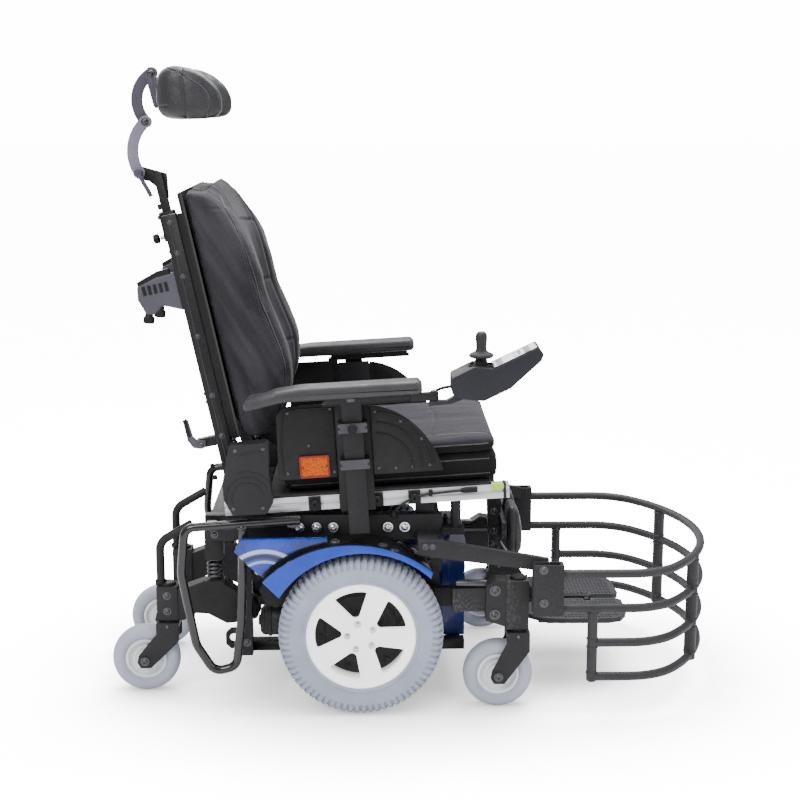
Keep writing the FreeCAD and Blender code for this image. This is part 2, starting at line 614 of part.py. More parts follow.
def seat_brackets():
    """Pan, rail feet, hinge plates with their pins, armrest clamps and leg-rest ears."""
    seat_frame = [box("seat_pan", ("-215", "262"), ("-rail_out", "rail_out"),
                      ("rail_high", "rail_high + pan_thick")),
                  box("front_cross", ("236", "262"), ("-rail_in", "rail_in"),
                      ("4", "rail_high - 2"))]
    for side, word in ((-1, "right"), (1, "left")):
        seat_frame.append(fuse("armrest_clamp_" + word, [
            box("clamp_block_" + word, ("-62", "12"), sided(side, "rail_out", "256"),
                ("0", "rail_high")),
            box("clamp_plate_" + word, ("-62", "12"), sided(side, "256", "262"), ("0", "230"))]))
        for n, low in enumerate(("100", "178")):
            strap = box("strap_%s_%d" % (word, n), ("post_back - 10", "post_front + 10"),
                        sided(side, "262", "post_out + 6"), (low, low + " + 20"))
            slot = box("strap_slot_%s_%d" % (word, n), ("post_back - 0.3", "post_front + 0.3"),
                       sided(side, "post_in - 0.3", "post_out + 0.3"), (low + " - 1", low + " + 21"))
            seat_frame.append(cut("armrest_strap_%s_%d" % (word, n), strap, [slot]))
    seat_group = doc.addObject("Part::Compound", "seat_group")
    seat_group.Links = seat_frame
    locate(seat_group, ("seat_x", "0", "seat_z"), (0, -1, 0), "seat_tilt")
    pieces = [seat_group]
    for side, word in ((-1, "right"), (1, "left")):
        pieces.append(plate("hinge_plate_" + word, [
            ("hinge_x - 24", "beam_top + 12"), ("hinge_x + 10", "beam_top"), ("-190", "beam_top"),
            ("-190", "466"), ("hinge_x + 24", "hinge_z + 22"), ("hinge_x - 20", "hinge_z + 22")],
            "rail_in - cane_out - 0.7", "%d * (rail_in + cane_out + 0.7) / 2" % side))
        pin = sided(side, "cane_in", "cane_out + 0.7")
        pieces.append(rod("hinge_pin_" + word, "pivot_radius", "cane_out + 0.7 - cane_in",
                          ("hinge_x", pin[0], "hinge_z"), "y"))
        pieces.append(box("front_foot_" + word, ("118", "160"), sided(side, "202", "rail_in"),
                          ("beam_top", "474")))
        pieces.append(box("strut_foot_" + word, ("chassis_front", "224"),
                          sided(side, "200", "234"), ("385", "400")))
        pieces.append(rod("front_strut_" + word, "11", "59",
                          ("205", "%d * 222" % side, "400")))
        pieces.append(box("leg_ear_" + word, ("leg_pivot_x - 22", "leg_pivot_x + 14"),
                          sided(side, "26", "34"), ("leg_pivot_z - 14", "467")))
    pieces.append(rod("leg_pivot_pin", "pivot_radius", "52", ("leg_pivot_x", "-26", "leg_pivot_z"),
                      "y"))
    node("seat_brackets", pieces)


def side_panel(side, word):
    """Rear panel and rounded front panel, with a gap behind the armrest post."""
    rear = plate("rear_panel_" + word, [
        ("-189", "78"), ("-64", "78"), ("-64", "236"), ("-166", "236"), ("-184", "219")],
        "4", "%d * 264" % side)
    y = side * 262
    corners = [Vector(x, y, z) for x, z in (
        (14, 78), (14, 228), (62, 213), (106, 180), (142, 130), (160, 78))]
    wire = Part.Wire([Part.LineSegment(corners[0], corners[1]).toShape(),
                      Part.Arc(corners[1], corners[2], corners[3]).toShape(),
                      Part.Arc(corners[3], corners[4], corners[5]).toShape(),
                      Part.LineSegment(corners[5], corners[0]).toShape()])
    front = Part.Face(wire).extrude(Vector(0, side * 4, 0))
    return [rear, solid("front_panel_" + word, front)]


def reflector(side, word):
    return box("reflector_" + word, ("-142", "-79"), sided(side, "266", "269"), ("81", "128"))


def hinge_cover(side, word):
    """Moulded cover over the recline hinge."""
    return plate("hinge_cover_" + word, [
        ("-275", "593"), ("-192", "600"), ("-192", "529"), ("-184", "470"), ("-198", "444"),
        ("-270", "441"), ("-288", "475"), ("-291", "510")], "38", "%d * 255" % side, "8", across)


node("seat_rails", both_sides(seat_rail), "seat")
cushions()
seat_brackets()
node("side_panels", sum(both_sides(side_panel), []), "seat")
node("reflectors", both_sides(reflector), "seat")
node("hinge_covers", both_sides(hinge_cover))


# ---------------------------------------------------------------- backrest

def backrest():
    pieces = []
    for side, word in ((-1, "right"), (1, "left")):
        bar = box("cane_bar_" + word, ("-18", "12"), sided(side, "cane_in", "cane_out"),
                  ("-14", "cane_top"))
        bore = rod("cane_bore_" + word, "pivot_radius + running_gap", "60",
                   ("0", "%d * 191 - 30" % side, "0"), "y")
        pieces.append(cut("back_cane_" + word, bar, [bore]))
    for n, low in enumerate(("150", "560")):
        pieces.append(box("back_cross_%d" % n, ("-18", "2"), ("-cane_in", "cane_in"),
                          (low, low + " + 22")))
    block = box("headrest_clamp_block", ("bar_back - 7", "-18"), ("-22", "22"), ("536", "600"))
    slot = box("headrest_clamp_slot", ("bar_back - 0.3", "bar_front + 0.3"),
               ("-bar_half - 0.3", "bar_half + 0.3"), ("535", "601"))
    screw = rod("headrest_clamp_bore", "4 + running_gap", "10", ("bar_back - 8", "0", "545"), "x")
    pieces.append(cut("headrest_clamp", block, [slot, screw]))
    lug = box("lever_lug", ("-58", "-18"), ("-cane_out", "-cane_out + 20"), ("102", "122"))
    pin = rod("lever_pin", "4", "10", ("-48", "-cane_out - 10", "112"), "y")
    pieces.append(fuse("lever_mount", [lug, pin]))
    node("back_frame", pieces, "back")

    sheet_metal = [box("shell_plate", ("26", "30"), ("-shell_half", "shell_half"), ("110", "640"))]
    for side, word in ((-1, "right"), (1, "left")):
        sheet_metal.append(box("shell_flange_" + word, ("30", "36"),
                               sided(side, "shell_half - 4", "shell_half"), ("110", "640")))
        sheet_metal.append(box("shell_spacer_" + word, ("12", "26"),
                               sided(side, "cane_in + 3", "cane_out - 3"), ("112", "598")))
    node("back_shell", [fuse("back_shell_all", sheet_metal)], "back")

    node("back_cushion", [plate("back_cushion_block", [
        ("37", "137"), ("46", "110"), ("92", "96"), ("126", "121"), ("152", "158"),
        ("167", "190"), ("177", "240"), ("176", "272"), ("166", "330"), ("156", "385"),
        ("155", "449"), ("150", "508"), ("140", "550"), ("121", "600"), ("103", "631"),
        ("86", "645"), ("48", "649"), ("37", "636")], "2 * cushion_half", "0")], "back")

    grips = both_sides(lambda side, word: plate("push_arm_" + word, [
        ("-18", "482"), ("-60", "480"), ("-104", "468"), ("-109", "440"), ("-98", "406"),
        ("-78", "402"), ("-60", "418"), ("-18", "399")], "22", "%d * 191" % side))
    bar = rod("push_bar", "13", "2 * 180", ("-88", "-180", "440"), "y")
    node("push_handles", grips + [bar], "back")

    lever = plate("recline_lever_plate", [
        ("-40", "104"), ("-39", "118"), ("-56", "122"), ("-63", "132"), ("-65", "168"),
        ("-70", "173"), ("-76", "168"), ("-76", "126"), ("-68", "108"), ("-52", "102")],
        "7", "-cane_out - 4.3")
    hole = rod("recline_lever_bore", "4 + running_gap", "20", ("-48", "-cane_out - 14", "112"), "y")
    node("recline_lever", [cut("recline_lever_cut", lever, [hole])], "back")


backrest()


# ---------------------------------------------------------------- headrest

LINK_A, LINK_MID_AB, LINK_B = (-483, 1147), (-495, 1202), (-466, 1257)
LINK_MID_BC, LINK_C = (-484, 1309), (-450, 1361)


def curved_link(start, middle, end, y_low):
    """Bar of constant width along a three-point arc, with round eyes at both ends."""
    width, thick = number("link_width"), number("link_thick")
    points = [Vector(x, y_low, z) for x, z in (start, middle, end)]
    spine = Part.Arc(*points).toShape().Curve
    centre = spine.Center
    offsets = []
    for gap in (-width / 2, width / 2):
        scale = (spine.Radius + gap) / spine.Radius
        offsets.append([centre + (point - centre) * scale for point in points])
    outer, inner = offsets[1], offsets[0]
    wire = Part.Wire([Part.Arc(*outer).toShape(), Part.LineSegment(outer[2], inner[2]).toShape(),
                      Part.Arc(inner[2], inner[1], inner[0]).toShape(),
                      Part.LineSegment(inner[0], outer[0]).toShape()])
    bar = Part.Face(wire).extrude(Vector(0, thick, 0))
    eyes = [Part.makeCylinder(width / 2 + 1, thick, point, Vector(0, 1, 0))
            for point in (points[0], points[2])]
    return bar.fuse(eyes).removeSplitter()


def headrest():
    bar = box("headrest_bar", ("bar_back", "bar_front"), ("-bar_half", "bar_half"), ("400", "686"))
    collar = rod("headrest_collar", "6", "8", ("bar_back - 8", "0", "612"), "x")
    upright = fuse("headrest_upright", [bar, collar])
    locate(upright, ("hinge_x", "0", "hinge_z"), (0, -1, 0), "back_angle")
    ear = plate("headrest_ear", [
        ("-496", "1140"), ("-488", "1133"), ("-462", "1128"), ("-440", "1110"),
        ("-429", "1088"), ("-421", "1092"), ("-424", "1145"), ("-478", "1160"), ("-492", "1157")], "link_thick - 0.4", "link_thick / 2 + 0.2")
    gap = number("running_gap")

    def pin(name, point, extra):
        return rod(name, "%.2f" % (5 + extra), "24", (str(point[0]), "-12", str(point[1])), "y")

    node("headrest_post", [cut("headrest_post_all", fuse("headrest_post_fused", [upright, ear]),
                               [pin("ear_bore", LINK_A, gap)])])
    lower = solid("lower_link_bar", curved_link(LINK_A, LINK_MID_AB, LINK_B,
                                                -number("link_thick") - 0.2))
    node("headrest_lower_link", [fuse("lower_link_all", [
        lower, pin("lower_pin", LINK_A, 0), pin("middle_pin", LINK_B, 0)])])
    upper = solid("upper_link_bar", curved_link(LINK_B, LINK_MID_BC, LINK_C, 0.2))
    drilled = cut("upper_link_cut", upper, [pin("upper_bore", LINK_B, gap)])
    node("headrest_upper_link", [fuse("upper_link_all", [drilled, pin("top_pin", LINK_C, 0)])])

    tab = plate("bracket_tab", [
        ("-462", "1354"), ("-456", "1373"), ("-444", "1373"), ("-438", "1362"), ("-438", "1286"),
        ("-446", "1290")], "link_thick - 0.4", "-link_thick / 2 - 0.4")
    face = box("bracket_plate", ("-440", "-435"), ("-38", "-0.6"), ("1286", "1352"))
    bracket = fuse("bracket_all", [tab, face])
    node("headrest_bracket", [cut("bracket_cut", bracket, [pin("bracket_bore", LINK_C, gap)])])

    side_view = plate("headrest_side", [
        ("-434", "1280"), ("-434", "1350"), ("-424", "1372"), ("-406", "1378"), ("-372", "1377"),
        ("-346", "1369"), ("-322", "1358"), ("-303", "1342"), ("-291", "1321"), ("-286", "1298"),
        ("-288", "1277"), ("-298", "1265"), ("-318", "1261"), ("-414", "1261"), ("-427", "1267")],
        "270", "0")
    block = box("headrest_block", ("-434", "-255"), ("-130", "130"), ("1260", "1385"))
    corners = doc.addObject("Part::Fillet", "headrest_block_round")
    corners.Base = block
    doc.recompute()
    corners.Edges = [(n, 58, 58) for n, edge in enumerate(block.Shape.Edges, start=1)
                     if abs(edge.tangentAt(0).z) > 0.9 and edge.Vertexes[0].X < -400]
    hollow = rod("headrest_hollow", "103", "160", ("-252", "0", "1240"))
    wrapped = doc.addObject("Part::Common", "headrest_wrapped")
    wrapped.Base = side_view
    wrapped.Tool = cut("headrest_c_shape", corners, [hollow])
    node("headrest_pad", [wrapped])

    shaft = rod("headrest_knob_shaft", "4", "16", ("-62", "0", "545"), "x")
    grip = rod("headrest_knob_grip", "12", "15", ("-77", "0", "545"), "x")
    node("headrest_knob", [fuse("headrest_knob_all", [shaft, grip])], "back")


headrest()


# ---------------------------------------------------------------- armrests

def armrest(side, word):
    """Post and beam in one piece, and the pad on the beam."""
    members = [box("post_" + word, ("post_back", "post_front"),
                   sided(side, "post_in", "post_out"), ("-42", "244")),
               box("post_beam_" + word, ("-80", "108"), sided(side, "262", "post_out"),
                   ("240", "256"))]
    if side < 0:
        members.append(box("joystick_tube", ("100", "142"), ("-296", "-280"), ("236", "252")))
        members.append(rod("joystick_eye", "10", "16", ("148", "swing_y", "236")))
        hole = rod("joystick_eye_bore", "4 + running_gap", "30", ("148", "swing_y", "230"))
        whole = cut("armrest_post_cut", fuse("armrest_post_all_" + word, members), [hole])
    else:
        whole = fuse("armrest_post_all_" + word, members)
    node("armrest_post_" + word, [whole], "seat")
    pad = plate("armrest_pad_block_" + word, [
        ("-250", "253"), ("-246", "240"), ("-166", "256"), ("120", "256"), ("126", "262"),
        ("126", "273"), ("118", "281"), ("-127", "282"), ("-179", "277")],
        "pad_out - pad_in", "%d * (pad_in + pad_out) / 2" % side)
    node("armrest_pad_" + word, [pad], "seat")


both_sides(armrest)


# ---------------------------------------------------------------- joystick

def joystick():
    body = plate("pod_block", [
        ("190", "712"), ("206", "701"), ("256", "696"), ("310", "722"), ("373", "780"),
        ("378", "794"), ("366", "806"), ("276", "763"), ("236", "767"), ("190", "744")],
        "pod_width", "pod_y", "5", across)
    well = rod("pod_well", "dome_radius + 1", "60", ("stick_x", "pod_y", "stick_z - 14"))
    slope = math.degrees(math.atan2(806 - 763, 366 - 276))
    lean = FreeCAD.Rotation(Vector(0, -1, 0), slope)
    buttons, bores = [], []
    for name, y in (("power_button", -262), ("horn_button", -298)):
        top = Vector(322, y, 763 + (322 - 276) * math.tan(math.radians(slope)))
        foot = top - lean.multVec(Vector(0, 0, 6))
        axis = lean.multVec(Vector(0, 0, 1))
        buttons.append((name, Part.makeCylinder(6, 7.5, foot, axis)))
        bores.append(solid(name + "_bore", Part.makeCylinder(6.2, 12, foot - axis * 1.5, axis)))
    shaped = cut("pod_cut", body, [well] + bores)
    arm = plate("pod_arm", [("144", "682"), ("190", "686"), ("230", "702"), ("230", "712"),
                            ("200", "704"), ("180", "692"), ("144", "692")], "20", "swing_y")
    pin = rod("swing_pin", "4", "27", ("148", "swing_y", "228"))
    pin_frame = doc.addObject("Part::Compound", "swing_pin_frame")
    pin_frame.Links = [pin]
    locate(pin_frame, ("seat_x", "0", "seat_z"), (0, -1, 0), "seat_tilt")
    node("joystick_pod", [fuse("pod_all", [shaped, arm, pin_frame])])
    for name, shape in buttons:
        node(name, [solid(name + "_cap", shape)])

    centre = Vector(number("stick_x"), number("pod_y"), number("stick_z"))
    radius = number("dome_radius")
    dome = Part.makeSphere(radius, centre, Vector(0, 0, 1), 0, 90, 360)
    neck = Part.makeCone(17, 12, 22, centre + Vector(0, 0, 10))
    flare = Part.makeCone(18, 26, 6, centre + Vector(0, 0, 32)).fuse(
        Part.makeCone(26, 14, 8, centre + Vector(0, 0, 38)))
    stick = Part.makeCylinder(12, 38, centre + Vector(0, 0, 42))
    tip = Part.makeSphere(12, centre + Vector(0, 0, 79))
    lever = dome.fuse([neck, flare, stick, tip]).removeSplitter()
    node("joystick_lever", [solid("lever_shape", lever)])
    node("joystick_gimbal", [box("gimbal_block", ("stick_x - 8", "stick_x + 8"),
                                 ("pod_y - 8", "pod_y + 8"), ("stick_z - 12", "stick_z - 4"))])


joystick()


# ---------------------------------------------------------------- leg rest

def leg_rest():
    post = plate("leg_post", [
        ("leg_pivot_x - 14", "leg_pivot_z - 6"), ("leg_pivot_x - 6", "leg_pivot_z + 14"),
        ("leg_pivot_x + 12", "leg_pivot_z + 12"), ("322", "416"), ("322", "300"),
        ("350", "258"), ("322", "246"), ("296", "288"), ("290", "410")], "40", "0")
    shin = plate("leg_shin", [
        ("322", "300"), ("404", "178"), ("440", "166"), ("440", "plate_low"),
        ("386", "plate_low"), ("296", "288")], "18", "0")
    hole = rod("leg_bore", "pivot_radius + running_gap", "60",
               ("leg_pivot_x", "-30", "leg_pivot_z"), "y")
    rib = box("pad_carrier", ("318", "328"), ("-104", "104"), ("336", "372"))
    beam = box("foot_beam", ("386", "535"), ("-9", "9"), ("plate_low", "plate_low + 16"))
    members = [post, shin, rib, beam]
    bores = [hole]
    for side, word in ((-1, "right"), (1, "left")):
        for n, back in enumerate(("384", "520")):
            members.append(box("foot_ear_%s_%d" % (word, n), (back, back + " + 11"),
                               sided(side, "8", "25"), ("plate_low", "plate_low + 14")))
        bores.append(rod("foot_bore_" + word, "4 + running_gap", "180",
                         ("370", "%d * plate_hinge_y" % side, "plate_low + 7"), "x"))
    node("leg_rest_frame", [cut("leg_frame_cut", fuse("leg_frame_all", members), bores)])

    pads = both_sides(lambda side, word: plate("calf_pad_" + word, [
        ("328.3", "300"), ("334", "296"), ("356", "296"), ("364", "310"), ("365", "350"),
        ("358", "396"), ("346", "413"), ("328.3", "410")], "84", "%d * 66" % side, "4", across))
    node("calf_pads", pads)


def footplate(side, word):
    """Flip-up plate with its hinge pin, and notches for the pin's ears."""
    body = padded("footplate_body_" + word, "XY_Plane", [
        ("397", "%d * 13" % side), ("397", "%d * 34" % side), ("378", "%d * 40" % side),
        ("378", "%d * 112" % side), ("420", "%d * 148" % side), ("556", "%d * 150" % side),
        ("586", "%d * 138" % side), ("601", "%d * 110" % side), ("604", "%d * 24" % side),
        ("594", "%d * 13" % side), ("534", "%d * 13" % side), ("534", "%d * 28" % side),
        ("517", "%d * 28" % side), ("517", "%d * 13" % side)], "plate_thick")
    locate(body, ("0", "0", "plate_low + plate_thick / 2"))
    pin = rod("footplate_pin_" + word, "4", "148",
              ("384", "%d * plate_hinge_y" % side, "plate_low + 7"), "x")
    node("footplate_" + word, [fuse("footplate_all_" + word, [body, pin])])


leg_rest()
both_sides(footplate)


# ---------------------------------------------------------------- front guard

def guard_ring(height, back):
    """Tube from one side round the nose to the other: two corner arcs and a nose arc."""
    half, nose = number("guard_half"), number("guard_nose")
    big, small = number("guard_nose_radius"), number("guard_corner_radius")
    centre = Vector(nose - big, 0, height)
    across_y = half - small
    corner_x = centre.x + math.sqrt((big - small) ** 2 - across_y ** 2)
    turn = math.atan2(across_y, corner_x - centre.x)

    def on(middle, radius, angle):
        return middle + Vector(radius * math.cos(angle), radius * math.sin(angle), 0)

    left = Vector(corner_x, across_y, height)
    right = Vector(corner_x, -across_y, height)
    up = math.pi / 2
    edges = [
        Part.LineSegment(Vector(back, half, height), on(left, small, up)).toShape(),
        Part.Arc(on(left, small, up), on(left, small, (up + turn) / 2),
                 on(left, small, turn)).toShape(),
        Part.Arc(on(centre, big, turn), on(centre, big, 0), on(centre, big, -turn)).toShape(),
        Part.Arc(on(right, small, -turn), on(right, small, -(up + turn) / 2),
                 on(right, small, -up)).toShape(),
        Part.LineSegment(on(right, small, -up), Vector(back, -half, height)).toShape()]
    return tube(Part.Wire(edges), number("guard_tube"))


def front_guard():
    """Four rings; the posts stand between them and are coped to the tubes."""
    top, pitch = number("guard_top"), number("guard_pitch")
    rings = []
    for n in range(4):
        back = number("guard_back") if n < 2 else number("first_post_x")
        rings.append(guard_ring(top - n * pitch, back))
    corner_x = 732
    big, nose = number("guard_nose_radius"), number("guard_nose")
    corner_y = math.sqrt(big ** 2 - (corner_x - (nose - big)) ** 2)
    posts = []
    for side in (-1, 1):
        first = Part.makeCylinder(number("first_post_radius"), 2 * pitch, Vector(
            number("first_post_x"), side * number("guard_half"), top - 3 * pitch))
        corner = Part.makeCylinder(number("corner_post_radius"), 3 * pitch,
                                   Vector(corner_x, side * corner_y, top - 3 * pitch))
        posts += [first, corner]
    pieces = [solid("guard_ring_%d" % (n + 1), ring) for n, ring in enumerate(rings)]
    for n, post in enumerate(posts):
        pieces.append(solid("guard_post_%d" % (n + 1), post.cut(rings)))
    node("guard_cage", pieces)


def guard_mount(side, word):
    """Arm from the chassis beam and the channel that holds the two upper rings."""
    foot = box("guard_foot_" + word, ("121", "165"), sided(side, "beam_out", "300"),
               ("beam_low", "beam_low + 20"))
    arm = plate("guard_arm_plate_" + word, [
        ("121", "359"), ("121", "392"), ("165", "392"), ("400", "350"), ("400", "322"),
        ("360", "326")], "14", "%d * 293" % side)
    outer = box("guard_channel_out_" + word, ("364", "guard_back"), sided(side, "300", "330"),
                ("232", "345"))
    inner = box("guard_channel_in_" + word, ("363", "guard_back - 8"), sided(side, "304", "326"),
                ("231", "346"))
    channel = cut("guard_channel_" + word, outer, [inner])
    return [fuse("guard_arm_" + word, [foot, arm]), channel]


front_guard()
node("guard_mounts", sum(both_sides(guard_mount), []))


# ---------------------------------------------------------------- joystick lead

def lead():
    """Lead that rises from the beam and runs along the right seat rail into its plug."""
    points = [(70, -229, 431), (77, -242, 448), (120, -242, 475), (172, -240, 481),
              (222, -241, 486)]
    radii = [20, 60, 120]
    wire = route(points, radii)
    cable = tube(wire, 3)
    length = sum(edge.Length for edge in wire.Edges)
    print("lead: radii %s, length %.1f, volume ratio %.4f"
          % (radii, length, cable.Volume / (math.pi * 9 * length)))
    node("joystick_lead", [solid("lead_tube", cable)])


lead()


# ---------------------------------------------------------------- check and write

doc.recompute()
faults = [item.Name for item in doc.Objects
          if "Invalid" in item.State or "Error" in item.State]
for item in nodes:
    if item.Shape.isNull() or not item.Shape.isValid() or not item.Shape.Solids:
        faults.append(item.Label)
if faults:
    raise RuntimeError("faulty: " + ", ".join(faults))
os.makedirs("parts", exist_ok=True)
whole = FreeCAD.BoundBox()
for item in nodes:
    item.Shape.exportStep("parts/%s.step" % item.Label)
    whole.add(item.Shape.BoundBox)
print("%d nodes, box %s" % (len(nodes), whole))
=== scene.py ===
"""Looks of the power wheelchair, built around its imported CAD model.

Lengths in this script are millimetres in one of the three local frames that part.py draws in (the
drive axle's, the seat's and the backrest's), and each frame's matrix turns them into metres.
"""

import json
import math

import bmesh
import bpy
import numpy as np
from mathutils import Matrix, Vector, noise
from mathutils.bvhtree import BVHTree


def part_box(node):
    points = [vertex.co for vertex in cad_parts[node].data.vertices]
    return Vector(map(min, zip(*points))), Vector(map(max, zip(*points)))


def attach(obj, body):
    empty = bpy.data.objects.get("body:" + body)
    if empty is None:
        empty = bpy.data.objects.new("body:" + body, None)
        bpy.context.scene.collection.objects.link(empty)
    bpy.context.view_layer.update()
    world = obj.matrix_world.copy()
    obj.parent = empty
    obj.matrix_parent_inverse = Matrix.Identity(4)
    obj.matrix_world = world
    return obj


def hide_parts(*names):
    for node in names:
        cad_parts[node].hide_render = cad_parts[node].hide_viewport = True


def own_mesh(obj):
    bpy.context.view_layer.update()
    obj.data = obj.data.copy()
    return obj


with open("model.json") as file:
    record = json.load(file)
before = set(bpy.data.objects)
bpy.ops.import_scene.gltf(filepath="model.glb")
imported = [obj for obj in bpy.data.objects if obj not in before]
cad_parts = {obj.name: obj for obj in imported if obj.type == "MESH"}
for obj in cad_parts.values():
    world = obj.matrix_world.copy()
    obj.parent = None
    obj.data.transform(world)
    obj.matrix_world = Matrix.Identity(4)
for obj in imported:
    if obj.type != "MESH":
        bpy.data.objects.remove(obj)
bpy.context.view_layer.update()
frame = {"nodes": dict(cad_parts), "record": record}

BODY_OF = {node: body for body, nodes in frame["record"]["behaviour"]["bodies"].items() for node in nodes}
SIDES = ((-1, "right"), (1, "left"))
AXLE_HEIGHT, WHEEL_Y, CASTER_HEIGHT = 178, 270, 76
UP = Vector((0, 0, 1))

tyre_low, tyre_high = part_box("drive_tyre_right")
AXLE = Vector(((tyre_low.x + tyre_high.x) / 2, 0, 0))
MM = Matrix.Scale(0.001, 4)
BASE = Matrix.Translation(AXLE) @ MM
SEAT = (Matrix.Translation(AXLE + Vector((0.021, 0, 0.449)))
        @ Matrix.Rotation(math.radians(3.5), 4, Vector((0, -1, 0))) @ MM)
BACK = (Matrix.Translation(AXLE + Vector((-0.268, 0, 0.483)))
        @ Matrix.Rotation(math.radians(12), 4, Vector((0, -1, 0))) @ MM)


# ---------------------------------------------------------------- camera, light and world

camera = bpy.data.objects.new("Camera", bpy.data.cameras.new("Camera"))
bpy.context.collection.objects.link(camera)
camera.location = AXLE + Vector((0.0185, -3.2586, 1.3009))
camera.rotation_euler = (math.pi / 2 - 0.2018, 0, -0.0219)
camera.data.lens = 65.73
bpy.context.scene.camera = camera


def area_light(name, at, aim, size, power):
    light = bpy.data.lights.new(name, "AREA")
    light.size = size
    light.energy = power
    lamp = bpy.data.objects.new(name, light)
    bpy.context.collection.objects.link(lamp)
    lamp.location = at
    lamp.rotation_euler = (Vector(aim) - Vector(at)).to_track_quat("-Z", "Y").to_euler()


area_light("key", (-2.2, -3.0, 3.2), (0, 0, 0.5), 2.0, 150)
area_light("fill", (3.0, -2.6, 2.0), (0, 0, 0.5), 2.6, 60)
area_light("top", (0.2, 0.6, 3.6), (0, 0, 0.4), 2.6, 300)
area_light("rim", (-1.5, 3.2, 2.2), (0, 0, 0.7), 2.2, 70)

world = bpy.data.worlds.new("World")
world.use_nodes = True
background = world.node_tree.nodes["Background"]
background.inputs["Color"].default_value = (0.985, 0.985, 1.0, 1)
seen = world.node_tree.nodes.new("ShaderNodeLightPath")
strength = world.node_tree.nodes.new("ShaderNodeMapRange")
strength.inputs["To Min"].default_value = 0.55
strength.inputs["To Max"].default_value = 15.0
world.node_tree.links.new(seen.outputs["Is Camera Ray"], strength.inputs["Value"])
world.node_tree.links.new(strength.outputs[0], background.inputs["Strength"])
bpy.context.scene.world = world


# ---------------------------------------------------------------- material building

class Surface:
    """A Principled material with procedural detail in object space."""

    def __init__(self, name, **sockets):
        self.material = bpy.data.materials.new(name)
        self.material.use_nodes = True
        self.tree = self.material.node_tree
        self.shader = self.tree.nodes["Principled BSDF"]
        coordinate = self.tree.nodes.new("ShaderNodeTexCoord")
        self.place = coordinate.outputs["Object"]
        self.facing = coordinate.outputs["Normal"]
        for socket, value in sockets.items():
            self.shader.inputs[socket.replace("_", " ")].default_value = value
        self.bump_out = None

    def link(self, a, b):
        self.tree.links.new(a, b)

    def node(self, kind, **values):
        made = self.tree.nodes.new("ShaderNode" + kind)
        for key, value in values.items():
            if key in made.inputs:
                made.inputs[key].default_value = value
            else:
                setattr(made, key, value)
        return made

    def maths(self, operation, a, b=None, clamp=False):
        made = self.node("Math", operation=operation, use_clamp=clamp)
        for socket, value in zip(made.inputs, (a, b)):
            if value is None:
                continue
            if isinstance(value, (int, float)):
                socket.default_value = value
            else:
                self.link(value, socket)
        return made.outputs[0]

    def scaled(self, scale):
        mapping = self.node("Mapping")
        mapping.inputs["Scale"].default_value = scale
        self.link(self.place, mapping.inputs["Vector"])
        return mapping.outputs[0]

    def clouds(self, scale, detail=3.0, rough=0.6, stretch=None):
        made = self.node("TexNoise", Scale=scale, Detail=detail, Roughness=rough)
        self.link(self.scaled(stretch) if stretch else self.place, made.inputs["Vector"])
        return made.outputs["Fac"]

    def cells(self, scale):
        made = self.node("TexVoronoi", Scale=scale)
        self.link(self.place, made.inputs["Vector"])
        return made.outputs["Distance"]

    def ramp(self, factor, low, high, start=0.0, end=1.0):
        """Colour or value that goes from low to high as the factor goes from start to end."""
        made = self.node("ValToRGB")
        stops = made.color_ramp.elements
        stops[0].position, stops[1].position = start, end
        stops[0].color = (*low, 1) if isinstance(low, tuple) else (low, low, low, 1)
        stops[1].color = (*high, 1) if isinstance(high, tuple) else (high, high, high, 1)
        self.link(factor, made.inputs[0])
        return made.outputs[0]

    def colour(self, source):
        self.link(source, self.shader.inputs["Base Color"])

    def mix(self, factor, a, b):
        made = self.node("Mix", data_type="RGBA")
        for socket, value in ((made.inputs[6], a), (made.inputs[7], b)):
            if isinstance(value, tuple):
                socket.default_value = (*value, 1)
            else:
                self.link(value, socket)
        self.link(factor, made.inputs[0])
        return made.outputs[2]

    def rough(self, source):
        self.link(source, self.shader.inputs["Roughness"])

    def bump(self, height, depth_mm, strength=1.0):
        """Adds relief of a real depth on top of the relief so far."""
        made = self.node("Bump", Strength=strength, Distance=depth_mm / 1000)
        self.link(height, made.inputs["Height"])
        if self.bump_out is not None:
            self.link(self.bump_out, made.inputs["Normal"])
        self.bump_out = made.outputs[0]
        self.link(self.bump_out, self.shader.inputs["Normal"])

    def edges(self, start=0.53, end=0.62):
        """How worn an edge is, from the mesh's own convexity."""
        geometry = self.node("NewGeometry")
        return self.ramp(geometry.outputs["Pointiness"], 0.0, 1.0, start, end)

    def threads(self, pitch_mm):
        """Weave of two crossing thread sets on whichever two axes the surface runs along."""
        split = self.node("SeparateXYZ")
        self.link(self.place, split.inputs[0])
        facing = self.node("SeparateXYZ")
        self.link(self.facing, facing.inputs[0])
        total = None
        for axis in range(3):
            wave = self.maths("SINE", self.maths("MULTIPLY", split.outputs[axis],
                                                 2 * math.pi / (pitch_mm / 1000)))
            weight = self.maths("SUBTRACT", 1.0, self.maths("ABSOLUTE", facing.outputs[axis]))
            part = self.maths("MULTIPLY", wave, weight)
            total = part if total is None else self.maths("ADD", total, part)
        return self.maths("ADD", self.maths("MULTIPLY", total, 0.25), 0.5, clamp=True)


def shade(colour, factor):
    return tuple(min(1.0, part * factor) for part in colour)


